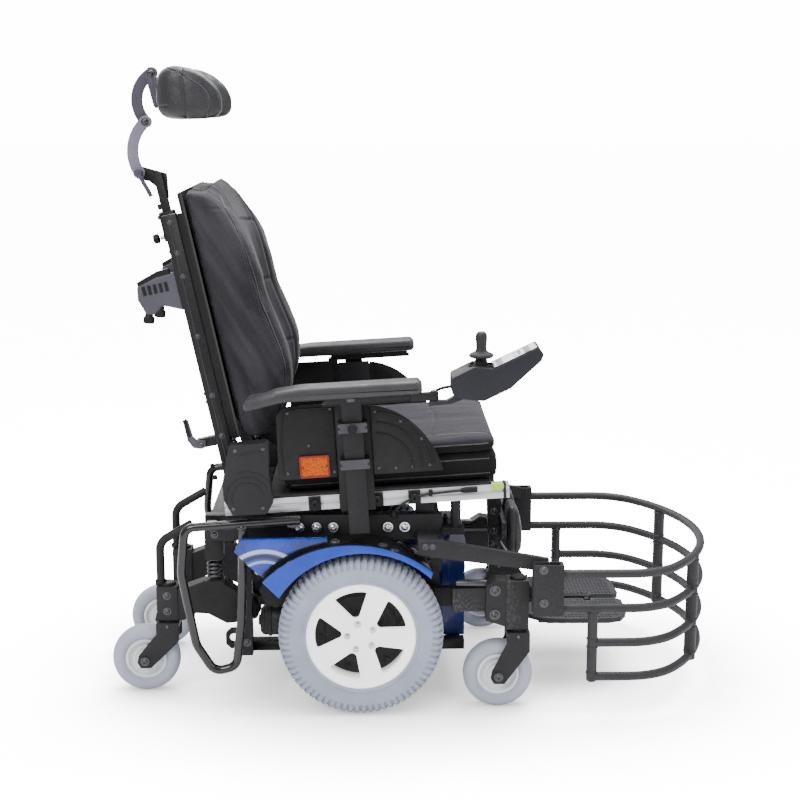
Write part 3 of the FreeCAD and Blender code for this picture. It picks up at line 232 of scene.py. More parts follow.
def paint(name, colour, roughness=0.42, metallic=0.0, coat=0.0, wear=(0.30, 0.30, 0.31), grain=0.10):
    """Powder coat or lacquer: orange-peel relief, cloudy sheen, fine dust and rubbed edges."""
    s = Surface(name, Metallic=metallic, Coat_Weight=coat, Coat_Roughness=0.08,
                Specular_IOR_Level=0.24)
    clouds = s.clouds(14, 4)
    base = s.ramp(clouds, shade(colour, 0.86), shade(colour, 1.20), 0.3, 0.75)
    dust = s.ramp(s.clouds(210, 6, 0.75), 0.0, 0.022, 0.50, 0.80)
    dusted = s.mix(dust, base, shade((0.40, 0.39, 0.37), 0.8))
    rubbed = s.maths("MULTIPLY", s.edges(0.56, 0.68), s.ramp(s.clouds(160, 4), 0.0, 0.16, 0.45, 0.62))
    s.colour(s.mix(rubbed, dusted, wear))
    s.rough(s.ramp(s.clouds(35, 5), roughness - 0.04, roughness + 0.07, 0.3, 0.75))
    s.bump(s.clouds(700, 2), grain)
    return s.material


def plastic(name, colour, roughness=0.5, grain=0.16, wear=(0.2, 0.2, 0.21)):
    """Moulded plastic: spark-eroded grain, flow clouds and fine hairline scratches."""
    s = Surface(name, Specular_IOR_Level=0.22)
    base = s.ramp(s.clouds(9, 4), shade(colour, 0.88), shade(colour, 1.16), 0.3, 0.75)
    lines = s.ramp(s.clouds(40, 2, 0.5, (1, 1, 22)), 0.0, 0.12, 0.66, 0.76)
    scratched = s.mix(lines, base, shade(colour, 1.7))
    rubbed = s.maths("MULTIPLY", s.edges(0.56, 0.68), s.ramp(s.clouds(160, 3), 0.0, 0.14, 0.45, 0.6))
    s.colour(s.mix(rubbed, scratched, wear))
    s.rough(s.ramp(s.clouds(50, 5), roughness - 0.06, roughness + 0.12, 0.3, 0.7))
    s.bump(s.cells(1100), grain, 0.5)
    return s.material


def metal(name, colour, roughness):
    """Bare metal: fine plated grain, tarnish clouds and small marks."""
    s = Surface(name, Metallic=1.0)
    plating = s.clouds(22, 4, 0.6, (8, 8, 8))
    base = s.ramp(plating, shade(colour, 0.82), shade(colour, 1.12), 0.3, 0.7)
    tarnish = s.ramp(s.clouds(30, 5), 0.0, 0.35, 0.5, 0.75)
    s.colour(s.mix(tarnish, base, shade(colour, 0.55)))
    s.rough(s.ramp(plating, roughness - 0.08, roughness + 0.14, 0.3, 0.75))
    s.bump(plating, 0.08)
    return s.material


def fabric(name, colour, pitch=1.6, depth=0.35, sheen=0.12, folds=0.0):
    """Woven upholstery: crossing threads, slubs, faded areas and, where folds is set, painted highlight
    and painted shade in diagonal fold streaks.
    """
    s = Surface(name, Roughness=0.82, Sheen_Weight=sheen, Sheen_Roughness=0.4,
                Specular_IOR_Level=0.14)
    weave = s.threads(pitch)
    slub = s.clouds(240, 3, 0.6)
    thread = s.ramp(weave, shade(colour, 0.62), shade(colour, 1.30), 0.15, 0.85)
    faded = s.ramp(s.clouds(7, 4), 0.0, 0.30, 0.42, 0.75)
    worn = s.mix(faded, thread, shade(colour, 1.65))
    if folds:
        # Lighter and darker diagonal streaks: painted highlight and painted shade that stand for the light
        # on the cloth's folds.
        lean = s.node("VectorRotate", rotation_type="Y_AXIS", Angle=math.radians(31))
        s.link(s.place, lean.inputs["Vector"])
        long = s.node("Mapping")
        long.inputs["Scale"].default_value = (26, 1, 3.4)
        s.link(lean.outputs[0], long.inputs["Vector"])
        fold_light_and_shade_streak = s.node("TexNoise", Scale=1.0, Detail=2.0, Roughness=0.5)
        s.link(long.outputs[0], fold_light_and_shade_streak.inputs["Vector"])
        worn = s.mix(s.ramp(fold_light_and_shade_streak.outputs["Fac"], 0.0, folds, 0.50, 0.68), worn, shade(colour, 2.3))
        worn = s.mix(s.ramp(fold_light_and_shade_streak.outputs["Fac"], folds, 0.0, 0.32, 0.46), worn, shade(colour, 0.5))
    s.colour(s.mix(s.ramp(slub, 0.0, 0.30, 0.55, 0.70), worn, shade(colour, 0.45)))
    s.bump(weave, depth, 0.8)
    s.bump(slub, 0.5, 0.5)
    s.bump(s.clouds(28, 4, 0.55), 1.8, 0.5)
    return s.material


def vinyl(name, colour, roughness=0.46, pebble=620):
    """Coated fabric or skin foam: fine pebble grain, soft creases, hand-polished patches."""
    s = Surface(name, Specular_IOR_Level=0.42, Sheen_Weight=0.04)
    base = s.ramp(s.clouds(12, 4), shade(colour, 0.80), shade(colour, 1.25), 0.3, 0.75)
    grain = s.cells(pebble)
    s.colour(s.mix(s.ramp(grain, 0.0, 0.35, 0.45, 0.8), base, shade(colour, 0.5)))
    s.rough(s.ramp(s.clouds(20, 5), roughness - 0.10, roughness + 0.12, 0.3, 0.7))
    s.bump(grain, 0.35, 0.6)
    s.bump(s.clouds(55, 3, 0.5), 0.8, 0.35)
    return s.material


def rubber(name, colour, roughness=0.66, dirt=(0.30, 0.29, 0.27)):
    """Tyre rubber: matte mould skin, bloom and road dust."""
    s = Surface(name, Specular_IOR_Level=0.3)
    base = s.ramp(s.clouds(18, 5), shade(colour, 0.90), shade(colour, 1.08), 0.3, 0.75)
    scuff = s.ramp(s.clouds(75, 6, 0.8), 0.0, 0.40, 0.50, 0.80)
    s.colour(s.mix(scuff, base, dirt))
    s.rough(s.ramp(s.clouds(40, 4), roughness - 0.08, roughness + 0.14, 0.3, 0.7))
    s.bump(s.clouds(420, 4, 0.7), 0.35, 0.5)
    return s.material


def reflector_lens(name, colour):
    """Moulded lens with small prism cells under a smooth face."""
    s = Surface(name, Roughness=0.34, Coat_Weight=0.10, Coat_Roughness=0.05,
                Specular_IOR_Level=0.14)
    prisms = s.cells(300)
    s.colour(s.ramp(prisms, shade(colour, 1.25), shade(colour, 0.55), 0.1, 0.75))
    s.bump(prisms, 0.9, 0.8)
    return s.material


BLACK = paint("black_powder_coat", (0.0095, 0.0095, 0.0105), 0.46)
CASTING = paint("black_casting", (0.015, 0.015, 0.016), 0.52, grain=0.08)
CHARCOAL = paint("charcoal_tube_coat", (0.027, 0.027, 0.030), 0.50, grain=0.10)
GLOSS = paint("gloss_black_tube", (0.006, 0.006, 0.007), 0.20, coat=0.6)
BLUE = paint("blue_lacquer", (0.0, 0.038, 0.37), 0.24, coat=0.35, wear=(0.0, 0.06, 0.45))
NAVY = paint("navy_lacquer", (0.004, 0.014, 0.115), 0.36, coat=0.3, wear=(0.06, 0.10, 0.25))
SILVER = paint("silver_wheel_lacquer_painted_glow", (0.90, 0.905, 0.93), 0.36, coat=0.25,
               wear=(0.70, 0.70, 0.72), grain=0.06)
HUB = plastic("caster_hub_plastic", (0.72, 0.73, 0.76), 0.42, 0.10, wear=(0.6, 0.6, 0.6))
LINK = paint("grey_link_lacquer", (0.062, 0.058, 0.080), 0.46)
LOW_LINK = paint("pale_link_lacquer", (0.17, 0.16, 0.215), 0.42)
RAIL = paint("silver_rail_lacquer", (0.60, 0.60, 0.63), 0.34, metallic=0.35, coat=0.2)
# Lighter strip colour for the painted highlights on the canes and along the back shell's edge.
HIGHLIGHT_STRIP = paint("painted_highlight_strip", (0.036, 0.036, 0.038), 0.42, metallic=0.2)
STRAP = paint("strap_lacquer", (0.050, 0.050, 0.058), 0.42)
PANEL = plastic("panel_plastic", (0.0080, 0.0080, 0.0085), 0.44, 0.12)
COVER = plastic("cover_plastic", (0.017, 0.017, 0.0195), 0.52, 0.25)
POD = plastic("pod_plastic", (0.017, 0.017, 0.022), 0.46, 0.20)
DARK = plastic("dark_plastic", (0.0075, 0.0075, 0.008), 0.50, 0.15)
GRIP = plastic("grey_grip", (0.066, 0.064, 0.080), 0.50, 0.25)
KEYPAD = plastic("keypad_film", (0.74, 0.75, 0.78), 0.26, 0.05, wear=(0.7, 0.7, 0.7))
KEY_LIGHT = plastic("key_grey", (0.24, 0.25, 0.27), 0.40, 0.10)
TREAD = plastic("tread_plastic", (0.032, 0.032, 0.036), 0.55, 0.12)
STEEL = metal("zinc_steel", (0.66, 0.67, 0.70), 0.26)
SOCKET = metal("dark_steel", (0.10, 0.10, 0.11), 0.38)
TYRE = rubber("grey_tyre", (0.315, 0.345, 0.425), dirt=(0.30, 0.31, 0.34))
CASTER = rubber("grey_caster_tyre", (0.36, 0.385, 0.455), dirt=(0.32, 0.33, 0.36))
LEAD = rubber("lead_rubber", (0.012, 0.012, 0.012), 0.5, (0.05, 0.05, 0.05))
BOOT = rubber("boot_rubber", (0.018, 0.018, 0.020), 0.55, (0.05, 0.05, 0.05))
SEAT_CLOTH = fabric("seat_cloth", (0.0215, 0.0205, 0.0265))
# folds=0.55 paints diagonal fold highlights and fold shade into the back cloth.
BACK_CLOTH = fabric("back_cloth", (0.022, 0.0215, 0.0255), folds=0.55)
BLACK_CLOTH = fabric("black_cloth", (0.0065, 0.0065, 0.007), 1.8, 0.3, 0.05)
PIPING = vinyl("piping_vinyl", (0.048, 0.047, 0.052), 0.4)
SKIN = vinyl("headrest_vinyl", (0.019, 0.019, 0.0225), 0.38)
PAD_SKIN = vinyl("arm_pad_skin", (0.028, 0.028, 0.032), 0.46, 900)
LIME = fabric("lime_webbing", (0.42, 0.80, 0.04), 2.0, 0.3, 0.2)
ORANGE = reflector_lens("orange_lens", (0.52, 0.085, 0.0))
# The silver wheel lacquer also glows white: painted light that brightens the rims and the centre caps.
PAINTED_GLOW_RIM_SHADER = SILVER.node_tree.nodes["Principled BSDF"]
PAINTED_GLOW_RIM_SHADER.inputs["Emission Color"].default_value = (1, 1, 1, 1)
PAINTED_GLOW_RIM_SHADER.inputs["Emission Strength"].default_value = 0.85
FENDER_CENTRE, FENDER_RADIUS = (-17.2, 120.5), 266.9


def side_cover_lacquer():
    """Deep blue lacquer with two pale sweeps and a near-black band along the fender, painted shade above
    the fender lip.
    """
    s = Surface("side_cover_lacquer", Coat_Weight=0.5, Coat_Roughness=0.06, Specular_IOR_Level=0.3)

    def reach(x, z):
        centre = BASE @ Vector((x, 0, z))
        offset = s.node("VectorMath", operation="SUBTRACT")
        s.link(s.place, offset.inputs[0])
        offset.inputs[1].default_value = centre
        flat = s.node("VectorMath", operation="MULTIPLY")
        s.link(offset.outputs[0], flat.inputs[0])
        flat.inputs[1].default_value = (1, 0, 1)
        length = s.node("VectorMath", operation="LENGTH")
        s.link(flat.outputs[0], length.inputs[0])
        return length.outputs["Value"]

    base = s.ramp(s.clouds(14, 4), (0.001, 0.016, 0.17), (0.002, 0.040, 0.42), 0.35, 0.65)
    sweep = reach(-204, 274)
    for radius, half, tone in ((0.094, 0.0042, (0.42, 0.46, 0.56)), (0.071, 0.0030, (0.30, 0.36, 0.52)),
                               (0.083, 0.0035, (0.004, 0.008, 0.03))):
        away = s.maths("ABSOLUTE", s.maths("SUBTRACT", sweep, radius))
        base = s.mix(s.ramp(s.maths("MULTIPLY", away, 100.0), 1.0, 0.0, half * 70, half * 130), base, tone)
    # Near-black band on the cover along the fender's outer edge: painted shade above the fender lip.
    shade_band_above_fender = s.maths("SUBTRACT", reach(*FENDER_CENTRE), (FENDER_RADIUS + 8) / 1000)
    s.colour(s.mix(s.ramp(s.maths("MULTIPLY", shade_band_above_fender, 100.0), 1.0, 0.0, 0.0, 0.12), base,
                   (0.006, 0.006, 0.008)))
    s.rough(s.ramp(s.clouds(35, 5), 0.22, 0.34, 0.3, 0.75))
    s.bump(s.clouds(700, 2), 0.05)
    return s.material


COVER_BLUE = side_cover_lacquer()
RED_RIM = plastic("reflector_rim", (0.22, 0.025, 0.010), 0.35, 0.05)
FLOOR = Surface("floor", Roughness=0.75)
FLOOR.colour(FLOOR.ramp(FLOOR.clouds(3, 3), (0.88, 0.88, 0.89), (0.92, 0.92, 0.93)))
FLOOR.shader.inputs["Emission Color"].default_value = (1.0, 1.0, 1.0, 1)
# The floor glows to camera rays, and ambient occlusion dims that glow near the chair: a painted contact
# shadow under it.
OPEN_SKY = FLOOR.node("AmbientOcclusion", Distance=0.42, samples=16)
PAINTED_SHADOW_FALLOFF = FLOOR.maths("POWER", OPEN_SKY.outputs["AO"], 4.5)
FLOOR_GLOW_WITH_PAINTED_SHADOW = FLOOR.maths("ADD", FLOOR.maths("MULTIPLY", PAINTED_SHADOW_FALLOFF, 13.2), 0.6)
FLOOR.link(FLOOR.maths("MULTIPLY", FLOOR.node("LightPath").outputs["Is Camera Ray"], FLOOR_GLOW_WITH_PAINTED_SHADOW),
           FLOOR.shader.inputs["Emission Strength"])


# ---------------------------------------------------------------- geometry

def finish_piece(name, bm, material, body, matrix=BASE, bevel=0.0, segments=2, angle=32,
                 sub=0, replaces=()):
    """Turn local geometry into a named piece that rides on a CAD body."""
    bmesh.ops.transform(bm, matrix=matrix, verts=bm.verts)
    bmesh.ops.recalc_face_normals(bm, faces=bm.faces)
    for face in bm.faces:
        face.smooth = True
    if not bevel and not sub:
        for edge in bm.edges:
            if len(edge.link_faces) == 2 and edge.calc_face_angle(0) > math.radians(angle):
                edge.smooth = False
    mesh = bpy.data.meshes.new(name)
    bm.to_mesh(mesh)
    bm.free()
    piece = bpy.data.objects.new(name, mesh)
    bpy.context.collection.objects.link(piece)
    piece.data.materials.append(material)
    if bevel:
        soft = piece.modifiers.new("Bevel", "BEVEL")
        soft.width = bevel / 1000
        soft.segments = segments
        soft.limit_method = "ANGLE"
        soft.angle_limit = math.radians(angle)
        soft.harden_normals = True
    if sub:
        fine = piece.modifiers.new("Subdivision", "SUBSURF")
        fine.levels = fine.render_levels = sub
    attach(piece, body)
    if replaces:
        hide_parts(*replaces)
    return piece


def prism(bm, outline, low, high, axis="y"):
    """Outline of (a, b) corners extruded along an axis between low and high."""
    def at(a, b, h):
        return {"x": (h, a, b), "y": (a, h, b), "z": (a, b, h)}[axis]
    bottom = [bm.verts.new(at(a, b, low)) for a, b in outline]
    top = [bm.verts.new(at(a, b, high)) for a, b in outline]
    bm.faces.new(bottom)
    bm.faces.new(top[::-1])
    count = len(outline)
    for i in range(count):
        bm.faces.new((bottom[i], top[i], top[(i + 1) % count], bottom[(i + 1) % count]))


def skin(bm, rows, ring=False, caps=(1, -1)):
    """Faces between loops of points; a ring joins the last loop to the first, else both are capped."""
    count = len(rows[0])
    for a, b in zip(rows, rows[1:] + rows[:1] if ring else rows[1:]):
        for i in range(count):
            j = (i + 1) % count
            bm.faces.new((a[i], a[j], b[j], b[i]))
    if not ring:
        bm.faces.new(rows[0][::caps[0]])
        bm.faces.new(rows[-1][::caps[1]])


def span(side, a, b):
    """Low and high y of a piece between two distances from the middle, on one side."""
    return sorted((side * a, side * b))


def box_outline(x, y):
    return [(x[0], y[0]), (x[1], y[0]), (x[1], y[1]), (x[0], y[1])]


def frame_ring(bm, outer, inner, low, high, axis="y"):
    """Flat frame between two outlines with the same number of corners."""
    def at(a, b, h):
        return (a, h, b) if axis == "y" else (a, b, h)
    skin(bm, [[bm.verts.new(at(a, b, h)) for a, b in outline]
              for outline, h in ((outer, low), (outer, high), (inner, high), (inner, low))], True)


def block(bm, x, y, z):
    prism(bm, box_outline(x, z), y[0], y[1])


def rounded(points, radius, steps=5):
    """Outline with each corner rounded."""
    result = []
    count = len(points)
    for i in range(count):
        p = Vector((*points[i], 0))
        a = Vector((*points[i - 1], 0)) - p
        b = Vector((*points[(i + 1) % count], 0)) - p
        half = a.angle(b) / 2
        back = min(radius / math.tan(half), a.length * 0.45, b.length * 0.45)
        start, end = p + a.normalized() * back, p + b.normalized() * back
        for k in range(steps + 1):
            t = k / steps
            q = start * (1 - t) ** 2 + p * 2 * t * (1 - t) + end * t ** 2
            result.append((q.x, q.y))
    return result


def ring_sweep(bm, centres, tangents, radii, sides):
    """Rings of points round a path, joined into a tube."""
    rings = []
    side = None
    for centre, tangent, radius in zip(centres, tangents, radii):
        tangent = tangent.normalized()
        if side is None:
            side = tangent.cross(UP if abs(tangent.dot(UP)) < 0.95 else Vector((0, 1, 0)))
        side = (side - tangent * side.dot(tangent)).normalized()
        lift = tangent.cross(side)
        rings.append([bm.verts.new(centre + (side * math.cos(a) + lift * math.sin(a)) * radius)
                      for a in (2 * math.pi * k / sides for k in range(sides))])
    skin(bm, rings, caps=(-1, 1))


def spindle(bm, start, axis, profile, sides=28):
    """Turned shape: (height along axis, radius) pairs from a starting point."""
    start, axis = Vector(start), Vector(axis).normalized()
    centres = [start + axis * h for h, r in profile]
    ring_sweep(bm, centres, [axis] * len(profile), [max(r, 0.01) for h, r in profile], sides)


def smooth_path(points, steps=8):
    """Points along a Catmull-Rom curve through the given points, with their tangents."""
    pts = [Vector(p) for p in points]
    ext = [pts[0] * 2 - pts[1], *pts, pts[-1] * 2 - pts[-2]]
    centres, tangents = [], []
    for i in range(1, len(ext) - 2):
        a, b, c, d = ext[i - 1:i + 3]
        for k in range(steps + (i == len(ext) - 3)):
            t = k / steps
            centres.append(0.5 * ((2 * b) + (c - a) * t + (2 * a - 5 * b + 4 * c - d) * t ** 2
                                  + (3 * b - a - 3 * c + d) * t ** 3))
            tangents.append(0.5 * ((c - a) + 2 * (2 * a - 5 * b + 4 * c - d) * t
                                   + 3 * (3 * b - a - 3 * c + d) * t ** 2))
    return centres, tangents


def pipe(bm, points, radius, sides=12, steps=8):
    centres, tangents = smooth_path(points, steps)
    ring_sweep(bm, centres, tangents, [radius] * len(centres), sides)


def bolt(bm, at, axis, radius, height, kind="dome"):
    """Fastener head: washer, then a dome with a socket, or a hexagon."""
    at, axis = Vector(at), Vector(axis).normalized()
    spindle(bm, at, axis, [(0, radius * 1.35), (height * 0.22, radius * 1.35),
                           (height * 0.24, radius * 1.02)], 24)
    if kind == "hex":
        spindle(bm, at, axis, [(height * 0.2, radius), (height * 0.9, radius),
                               (height, radius * 0.86)], 6)
        spindle(bm, at, axis, [(height * 0.9, radius * 0.55), (height * 1.25, radius * 0.5)], 16)
        return
    steps = [(height * (0.22 + 0.78 * math.sin(a)), radius * max(math.cos(a), 0.42))
             for a in (0, 0.4, 0.8, 1.14)]
    steps += [(height, radius * 0.40), (height * 0.45, radius * 0.36), (height * 0.42, 0.05)]
    spindle(bm, at, axis, steps, 20)


def dress(node, material, bevel=1.2, segments=2, angle=38):
    """Copy of a CAD node with real rounded edges, standing for that node."""
    bm = bmesh.new()
    bm.from_mesh(frame["nodes"][node].data)
    bmesh.ops.remove_doubles(bm, verts=bm.verts, dist=2e-6)
    bmesh.ops.dissolve_limit(bm, angle_limit=math.radians(0.6), verts=bm.verts, edges=bm.edges)
    return finish_piece(node + "_body", bm, material, BODY_OF[node],
                        Matrix.Identity(4), bevel, segments, angle, replaces=(node,))


# ---------------------------------------------------------------- soft pieces

def remeshed(piece, voxel_mm):
    modifier = piece.modifiers.new("Remesh", "REMESH")
    modifier.mode = "VOXEL"
    modifier.voxel_size = voxel_mm / 1000
    apply_modifiers(piece)


def apply_modifiers(piece):
    graph = bpy.context.evaluated_depsgraph_get()
    mesh = bpy.data.meshes.new_from_object(piece.evaluated_get(graph))
    piece.modifiers.clear()
    old = piece.data
    piece.data = mesh
    bpy.data.meshes.remove(old)
    for polygon in mesh.polygons:
        polygon.use_smooth = True


def coordinates(mesh):
    values = np.empty(len(mesh.vertices) * 3)
    mesh.vertices.foreach_get("co", values)
    return values.reshape(-1, 3)


def set_coordinates(mesh, values):
    mesh.vertices.foreach_set("co", values.astype(np.float32).ravel())
    mesh.update()


def inflate(piece, cap_mm, pressure=4.0, frames=20):
    """Cloth pressed out by its filling, no point moving further than the cap."""
    scene = bpy.context.scene
    start = coordinates(piece.data)
    cloth = piece.modifiers.new("Cloth", "CLOTH")
    cloth.settings.use_pressure = True
    cloth.settings.uniform_pressure_force = pressure
    cloth.settings.effector_weights.gravity = 0
    cloth.settings.quality = 4
    cloth.point_cache.frame_start = 1
    cloth.point_cache.frame_end = frames
    for step in range(1, frames + 1):
        scene.frame_set(step)
    graph = bpy.context.evaluated_depsgraph_get()
    moved = coordinates(piece.evaluated_get(graph).data)
    piece.modifiers.remove(cloth)
    scene.frame_set(1)
    shift = moved - start
    length = np.linalg.norm(shift, axis=1, keepdims=True)
    shift *= np.minimum(1, cap_mm / 1000 / np.maximum(length, 1e-9))
    set_coordinates(piece.data, start + shift)


def relief(piece, matrix, height_mm):
    """Move each point along its normal by height_mm(local point, local normal)."""
    mesh = piece.data
    inverse = matrix.inverted()
    turn = inverse.to_3x3().normalized()
    normals = [Vector(v.normal) for v in mesh.vertices]
    for vertex, normal in zip(mesh.vertices, normals):
        amount = height_mm(inverse @ vertex.co, turn @ normal)
        vertex.co = vertex.co + normal * (amount / 1000)
    mesh.update()


def groove(distance, width, depth):
    return -depth * math.exp(-(distance / width) ** 2)


def stuffed(name, bm, material, body, matrix, voxel, cap, height, replaces):
    """Padded piece: remeshed form, blown out as cloth, then given its seams and folds."""
    piece = finish_piece(name, bm, material, body, matrix, replaces=replaces)
    remeshed(piece, voxel)
    for _ in range(2):
        smooth_once(piece.data)
    inflate(piece, cap)
    fine = piece.modifiers.new("Subdivision", "SUBSURF")
    fine.levels = fine.render_levels = 1
    apply_modifiers(piece)
    relief(piece, matrix, height)
    return piece


def smooth_once(mesh):
    bm = bmesh.new()
    bm.from_mesh(mesh)
    bmesh.ops.smooth_vert(bm, verts=bm.verts, factor=0.5, use_axis_x=True, use_axis_y=True,
                          use_axis_z=True)
    bm.to_mesh(mesh)
    bm.free()


def laid_on(piece, points, aim, matrix, gap):
    """Points dropped on a piece against the aim, each lifted by the gap; None where they miss it."""
    tree = BVHTree.FromObject(piece, bpy.context.evaluated_depsgraph_get())
    inverse = matrix.inverted()
    place = piece.matrix_world.inverted()
    way = (matrix.to_3x3().normalized() @ Vector(aim)).normalized()
    hits = []
    for point in points:
        hit = tree.ray_cast(place @ (matrix @ Vector(point) + way * 0.15), -way)[0]
        hits.append(None if hit is None else inverse @ (piece.matrix_world @ hit + way * gap))
    return hits


def surface_cord(name, piece, points, aim, radius, body, matrix=BASE):
    """Piping laid on a piece."""
    hits = [hit for hit in laid_on(piece, points, aim, matrix, 0.3 * radius / 1000) if hit is not None]
    bm = bmesh.new()
    pipe(bm, hits, radius, 8, 2)
    finish_piece(name, bm, PIPING, body, matrix)


def stitches(name, piece, points, aim, matrix, body):
    """A row of short thread dashes on a piece."""
    hits = laid_on(piece, points, aim, matrix, 0.0003)
    bm = bmesh.new()
    for a, b in zip(hits[::2], hits[1::2]):
        if a is not None and b is not None and (a - b).length <= 14:
            ring_sweep(bm, [a, (a + b) / 2 + Vector(aim) * 0.3, b], [b - a] * 3, [0.45] * 3, 5)
    finish_piece(name, bm, PIPING, body, matrix)


# ---------------------------------------------------------------- drive wheels

def tyre_mesh(bm, centre, profile, turns, relief_at=None):
    """Closed ring of (radius, y) corners; relief_at(turn, index) lowers and narrows points."""
    rings = []
    for k in range(turns):
        angle = 2 * math.pi * k / turns
        ring = []
        for i, (radius, y) in enumerate(profile):
            deep, narrow = relief_at(k, i) if relief_at else (0.0, 0.0)
            r = radius - deep
            ring.append(bm.verts.new((centre[0] + r * math.sin(angle),
                                      centre[1] + y - math.copysign(narrow, y),
                                      centre[2] + r * math.cos(angle))))
        rings.append(ring)
    skin(bm, rings, True)


def drive_tyre(side, word):
    """Tyre with deep shoulder blocks and a fine sidewall bead."""
    outer, inner, half = 178.0, 118.0, 37.0
    profile = [(inner, -30), (inner + 2.5, -33.4), (inner + 7, -34.6), (inner + 9, -33.2),
               (inner + 11, -33.6), (inner + 22, -36.6), (inner + 34, -half), (outer - 17, -36.8)]
    tread_from = len(profile)
    widths = [-35.5, -33.0, -29.5, -26.5, -22.0, -18.0, -13.5, -9.0, -4.5, 0.0]
    widths += [-w for w in widths[-2::-1]]
    for y in widths:
        sag = 12.5 * (abs(y) / 36) ** 3.2
        profile.append((outer - sag, y))
    tread_to = len(profile)
    profile += [(r, -y) for r, y in profile[tread_from - 1::-1]]
    blocks, parts = 72, 8

    def tread(turn, i):
        if not tread_from - 1 <= i <= tread_to:
            return 0.0, 0.0
        y = profile[i][1]
        cell = (turn + (parts // 2 if y > 0 else 0)) % parts
        if cell >= 3:
            return (2.4, 0.0) if 12.0 < abs(y) < 15.0 else (0.0, 0.0)
        if abs(y) > 31:
            return 1.5, 4.2
        return (5.4, 0.0) if abs(y) > 17 else (2.4, 0.0)

    bm = bmesh.new()
    tyre_mesh(bm, (0, side * WHEEL_Y, AXLE_HEIGHT), profile, blocks * parts, tread)
    finish_piece("drive_tyre_%s_tread" % word, bm, TYRE, "drive_wheel_" + word,
                 angle=28, replaces=("drive_tyre_" + word,))


def drive_rim(side, word):
    dress("drive_rim_" + word, SILVER, 2.4, 3, 40)
    face = side * 298
    bm = bmesh.new()
    for k in range(5):
        angle = 2 * math.pi * k / 5 + side * math.radians(13.7)
        at = (29.5 * math.sin(angle), face - side * 0.2, AXLE_HEIGHT + 29.5 * math.cos(angle))
        spindle(bm, at, (0, side, 0), [(0, 7.6), (0.8, 7.6), (1.1, 6.2)], 24)
        bolt(bm, at, (0, side, 0), 4.6, 3.4, "hex")
    finish_piece("drive_bolts_" + word, bm, STEEL, "drive_wheel_" + word)
    bm = bmesh.new()
    spindle(bm, (0, face - side * 2.6, AXLE_HEIGHT), (0, side, 0),
            [(0, 17), (3.2, 17), (4.4, 16), (4.6, 14.2), (4.1, 13.4), (4.1, 0.05)], 40)
    finish_piece("drive_cap_" + word, bm, SILVER, "drive_wheel_" + word, bevel=0.5)
    bm = bmesh.new()
    inner = side * 238
    spindle(bm, (0, inner, AXLE_HEIGHT), (0, side, 0),
            [(0, 104), (5, 104), (8, 101), (9, 80), (16, 76), (18, 44), (34, 40), (35, 24)], 56)
    for k in range(18):
        angle = 2 * math.pi * k / 18
        spindle(bm, (90 * math.sin(angle), inner + side * 7, AXLE_HEIGHT + 90 * math.cos(angle)),
                (0, side, 0), [(0, 5), (3.4, 5), (4.2, 4)], 10)
    finish_piece("drive_hub_drum_" + word, bm, DARK, "drive_wheel_" + word, bevel=0.6)


for side, word in SIDES:
    drive_tyre(side, word)
    drive_rim(side, word)


# ---------------------------------------------------------------- casters

# Stem x and y, trail and crown height of each pair of casters.
CASTERS = {"rear": (-431, 138, 52, 152), "front": (340, 245, 42, 163)}


def caster(end, side, word):
    x, y, trail, crown = CASTERS[end]
    y *= side
    x_wheel = x - trail
    tag = "%s_%s" % (end, word)
    wheel_body = "%s_caster_%s" % (end, word)
    fork_body = "%s_fork_%s" % (end, word)
    outline = []
    for k in range(25):
        angle = math.pi * (k / 24 - 0.5)
        outline.append((54 + 22 * math.cos(angle) ** 0.62, 23 * math.sin(angle)))
    outline += [(49, 19.5), (47, 17.0), (46, 15.5), (46, -15.5), (47, -17.0), (49, -19.5)]
    bm = bmesh.new()
    tyre_mesh(bm, (x_wheel, y, CASTER_HEIGHT), outline, 96)
    finish_piece("caster_tyre_" + tag, bm, CASTER, wheel_body,
                 replaces=("caster_wheel_" + tag,), angle=50)
    hub = [(46, 15.2), (43, 17.5), (40.5, 17.5), (38.5, 15.5), (37.5, 9.5), (33, 7.5), (29, 8.2),
           (27.5, 11.0), (24.5, 11.6), (23.5, 9.0), (19, 8.8), (17.5, 11), (16.5, 21.5),
           (14.5, 23), (6.05, 23)]
    bm = bmesh.new()
    tyre_mesh(bm, (x_wheel, y, CASTER_HEIGHT), hub + [(r, -w) for r, w in hub[::-1]], 72)
    for k in range(5):
        angle = 2 * math.pi * k / 5
        for way in (-1, 1):
            at = (x_wheel + 33 * math.sin(angle), y + way * 7.0,
                  CASTER_HEIGHT + 33 * math.cos(angle))
            spindle(bm, at, (0, way, 0), [(0, 3.2), (2.6, 3.2), (3.4, 2.4)], 12)
    finish_piece("caster_hub_" + tag, bm, HUB, wheel_body, angle=40)
    dress("caster_fork_" + tag, CASTING, 2.0, 3, 30)
    bm = bmesh.new()
    for way in (-1, 1):
        bolt(bm, (x_wheel, y + way * 33.8, CASTER_HEIGHT), (0, way, 0), 7.5, 5.5)
        spindle(bm, (x, y + way * 31, crown + 4), (0, way, 0), [(0, 3.6), (1.6, 3.6), (2.4, 2.6)], 14)
    finish_piece("caster_axle_bolts_" + tag, bm, SOCKET, fork_body)
    bm = bmesh.new()
    spindle(bm, (x, y, crown + 11.5), UP, [(0, 19), (1.6, 20), (3.4, 19.4), (4.2, 15)], 32)
    finish_piece("caster_seal_" + tag, bm, BOOT, fork_body)


for end in CASTERS:
    for side, word in SIDES:
        caster(end, side, word)


# ---------------------------------------------------------------- suspension

SPRING_X, SPRING_LOW, SPRING_HIGH = -325, 258.0, 306.0
CAP_PROFILE = ((0, 18), (3, 18), (6, 15), (7, 8), (7.2, 0.05))


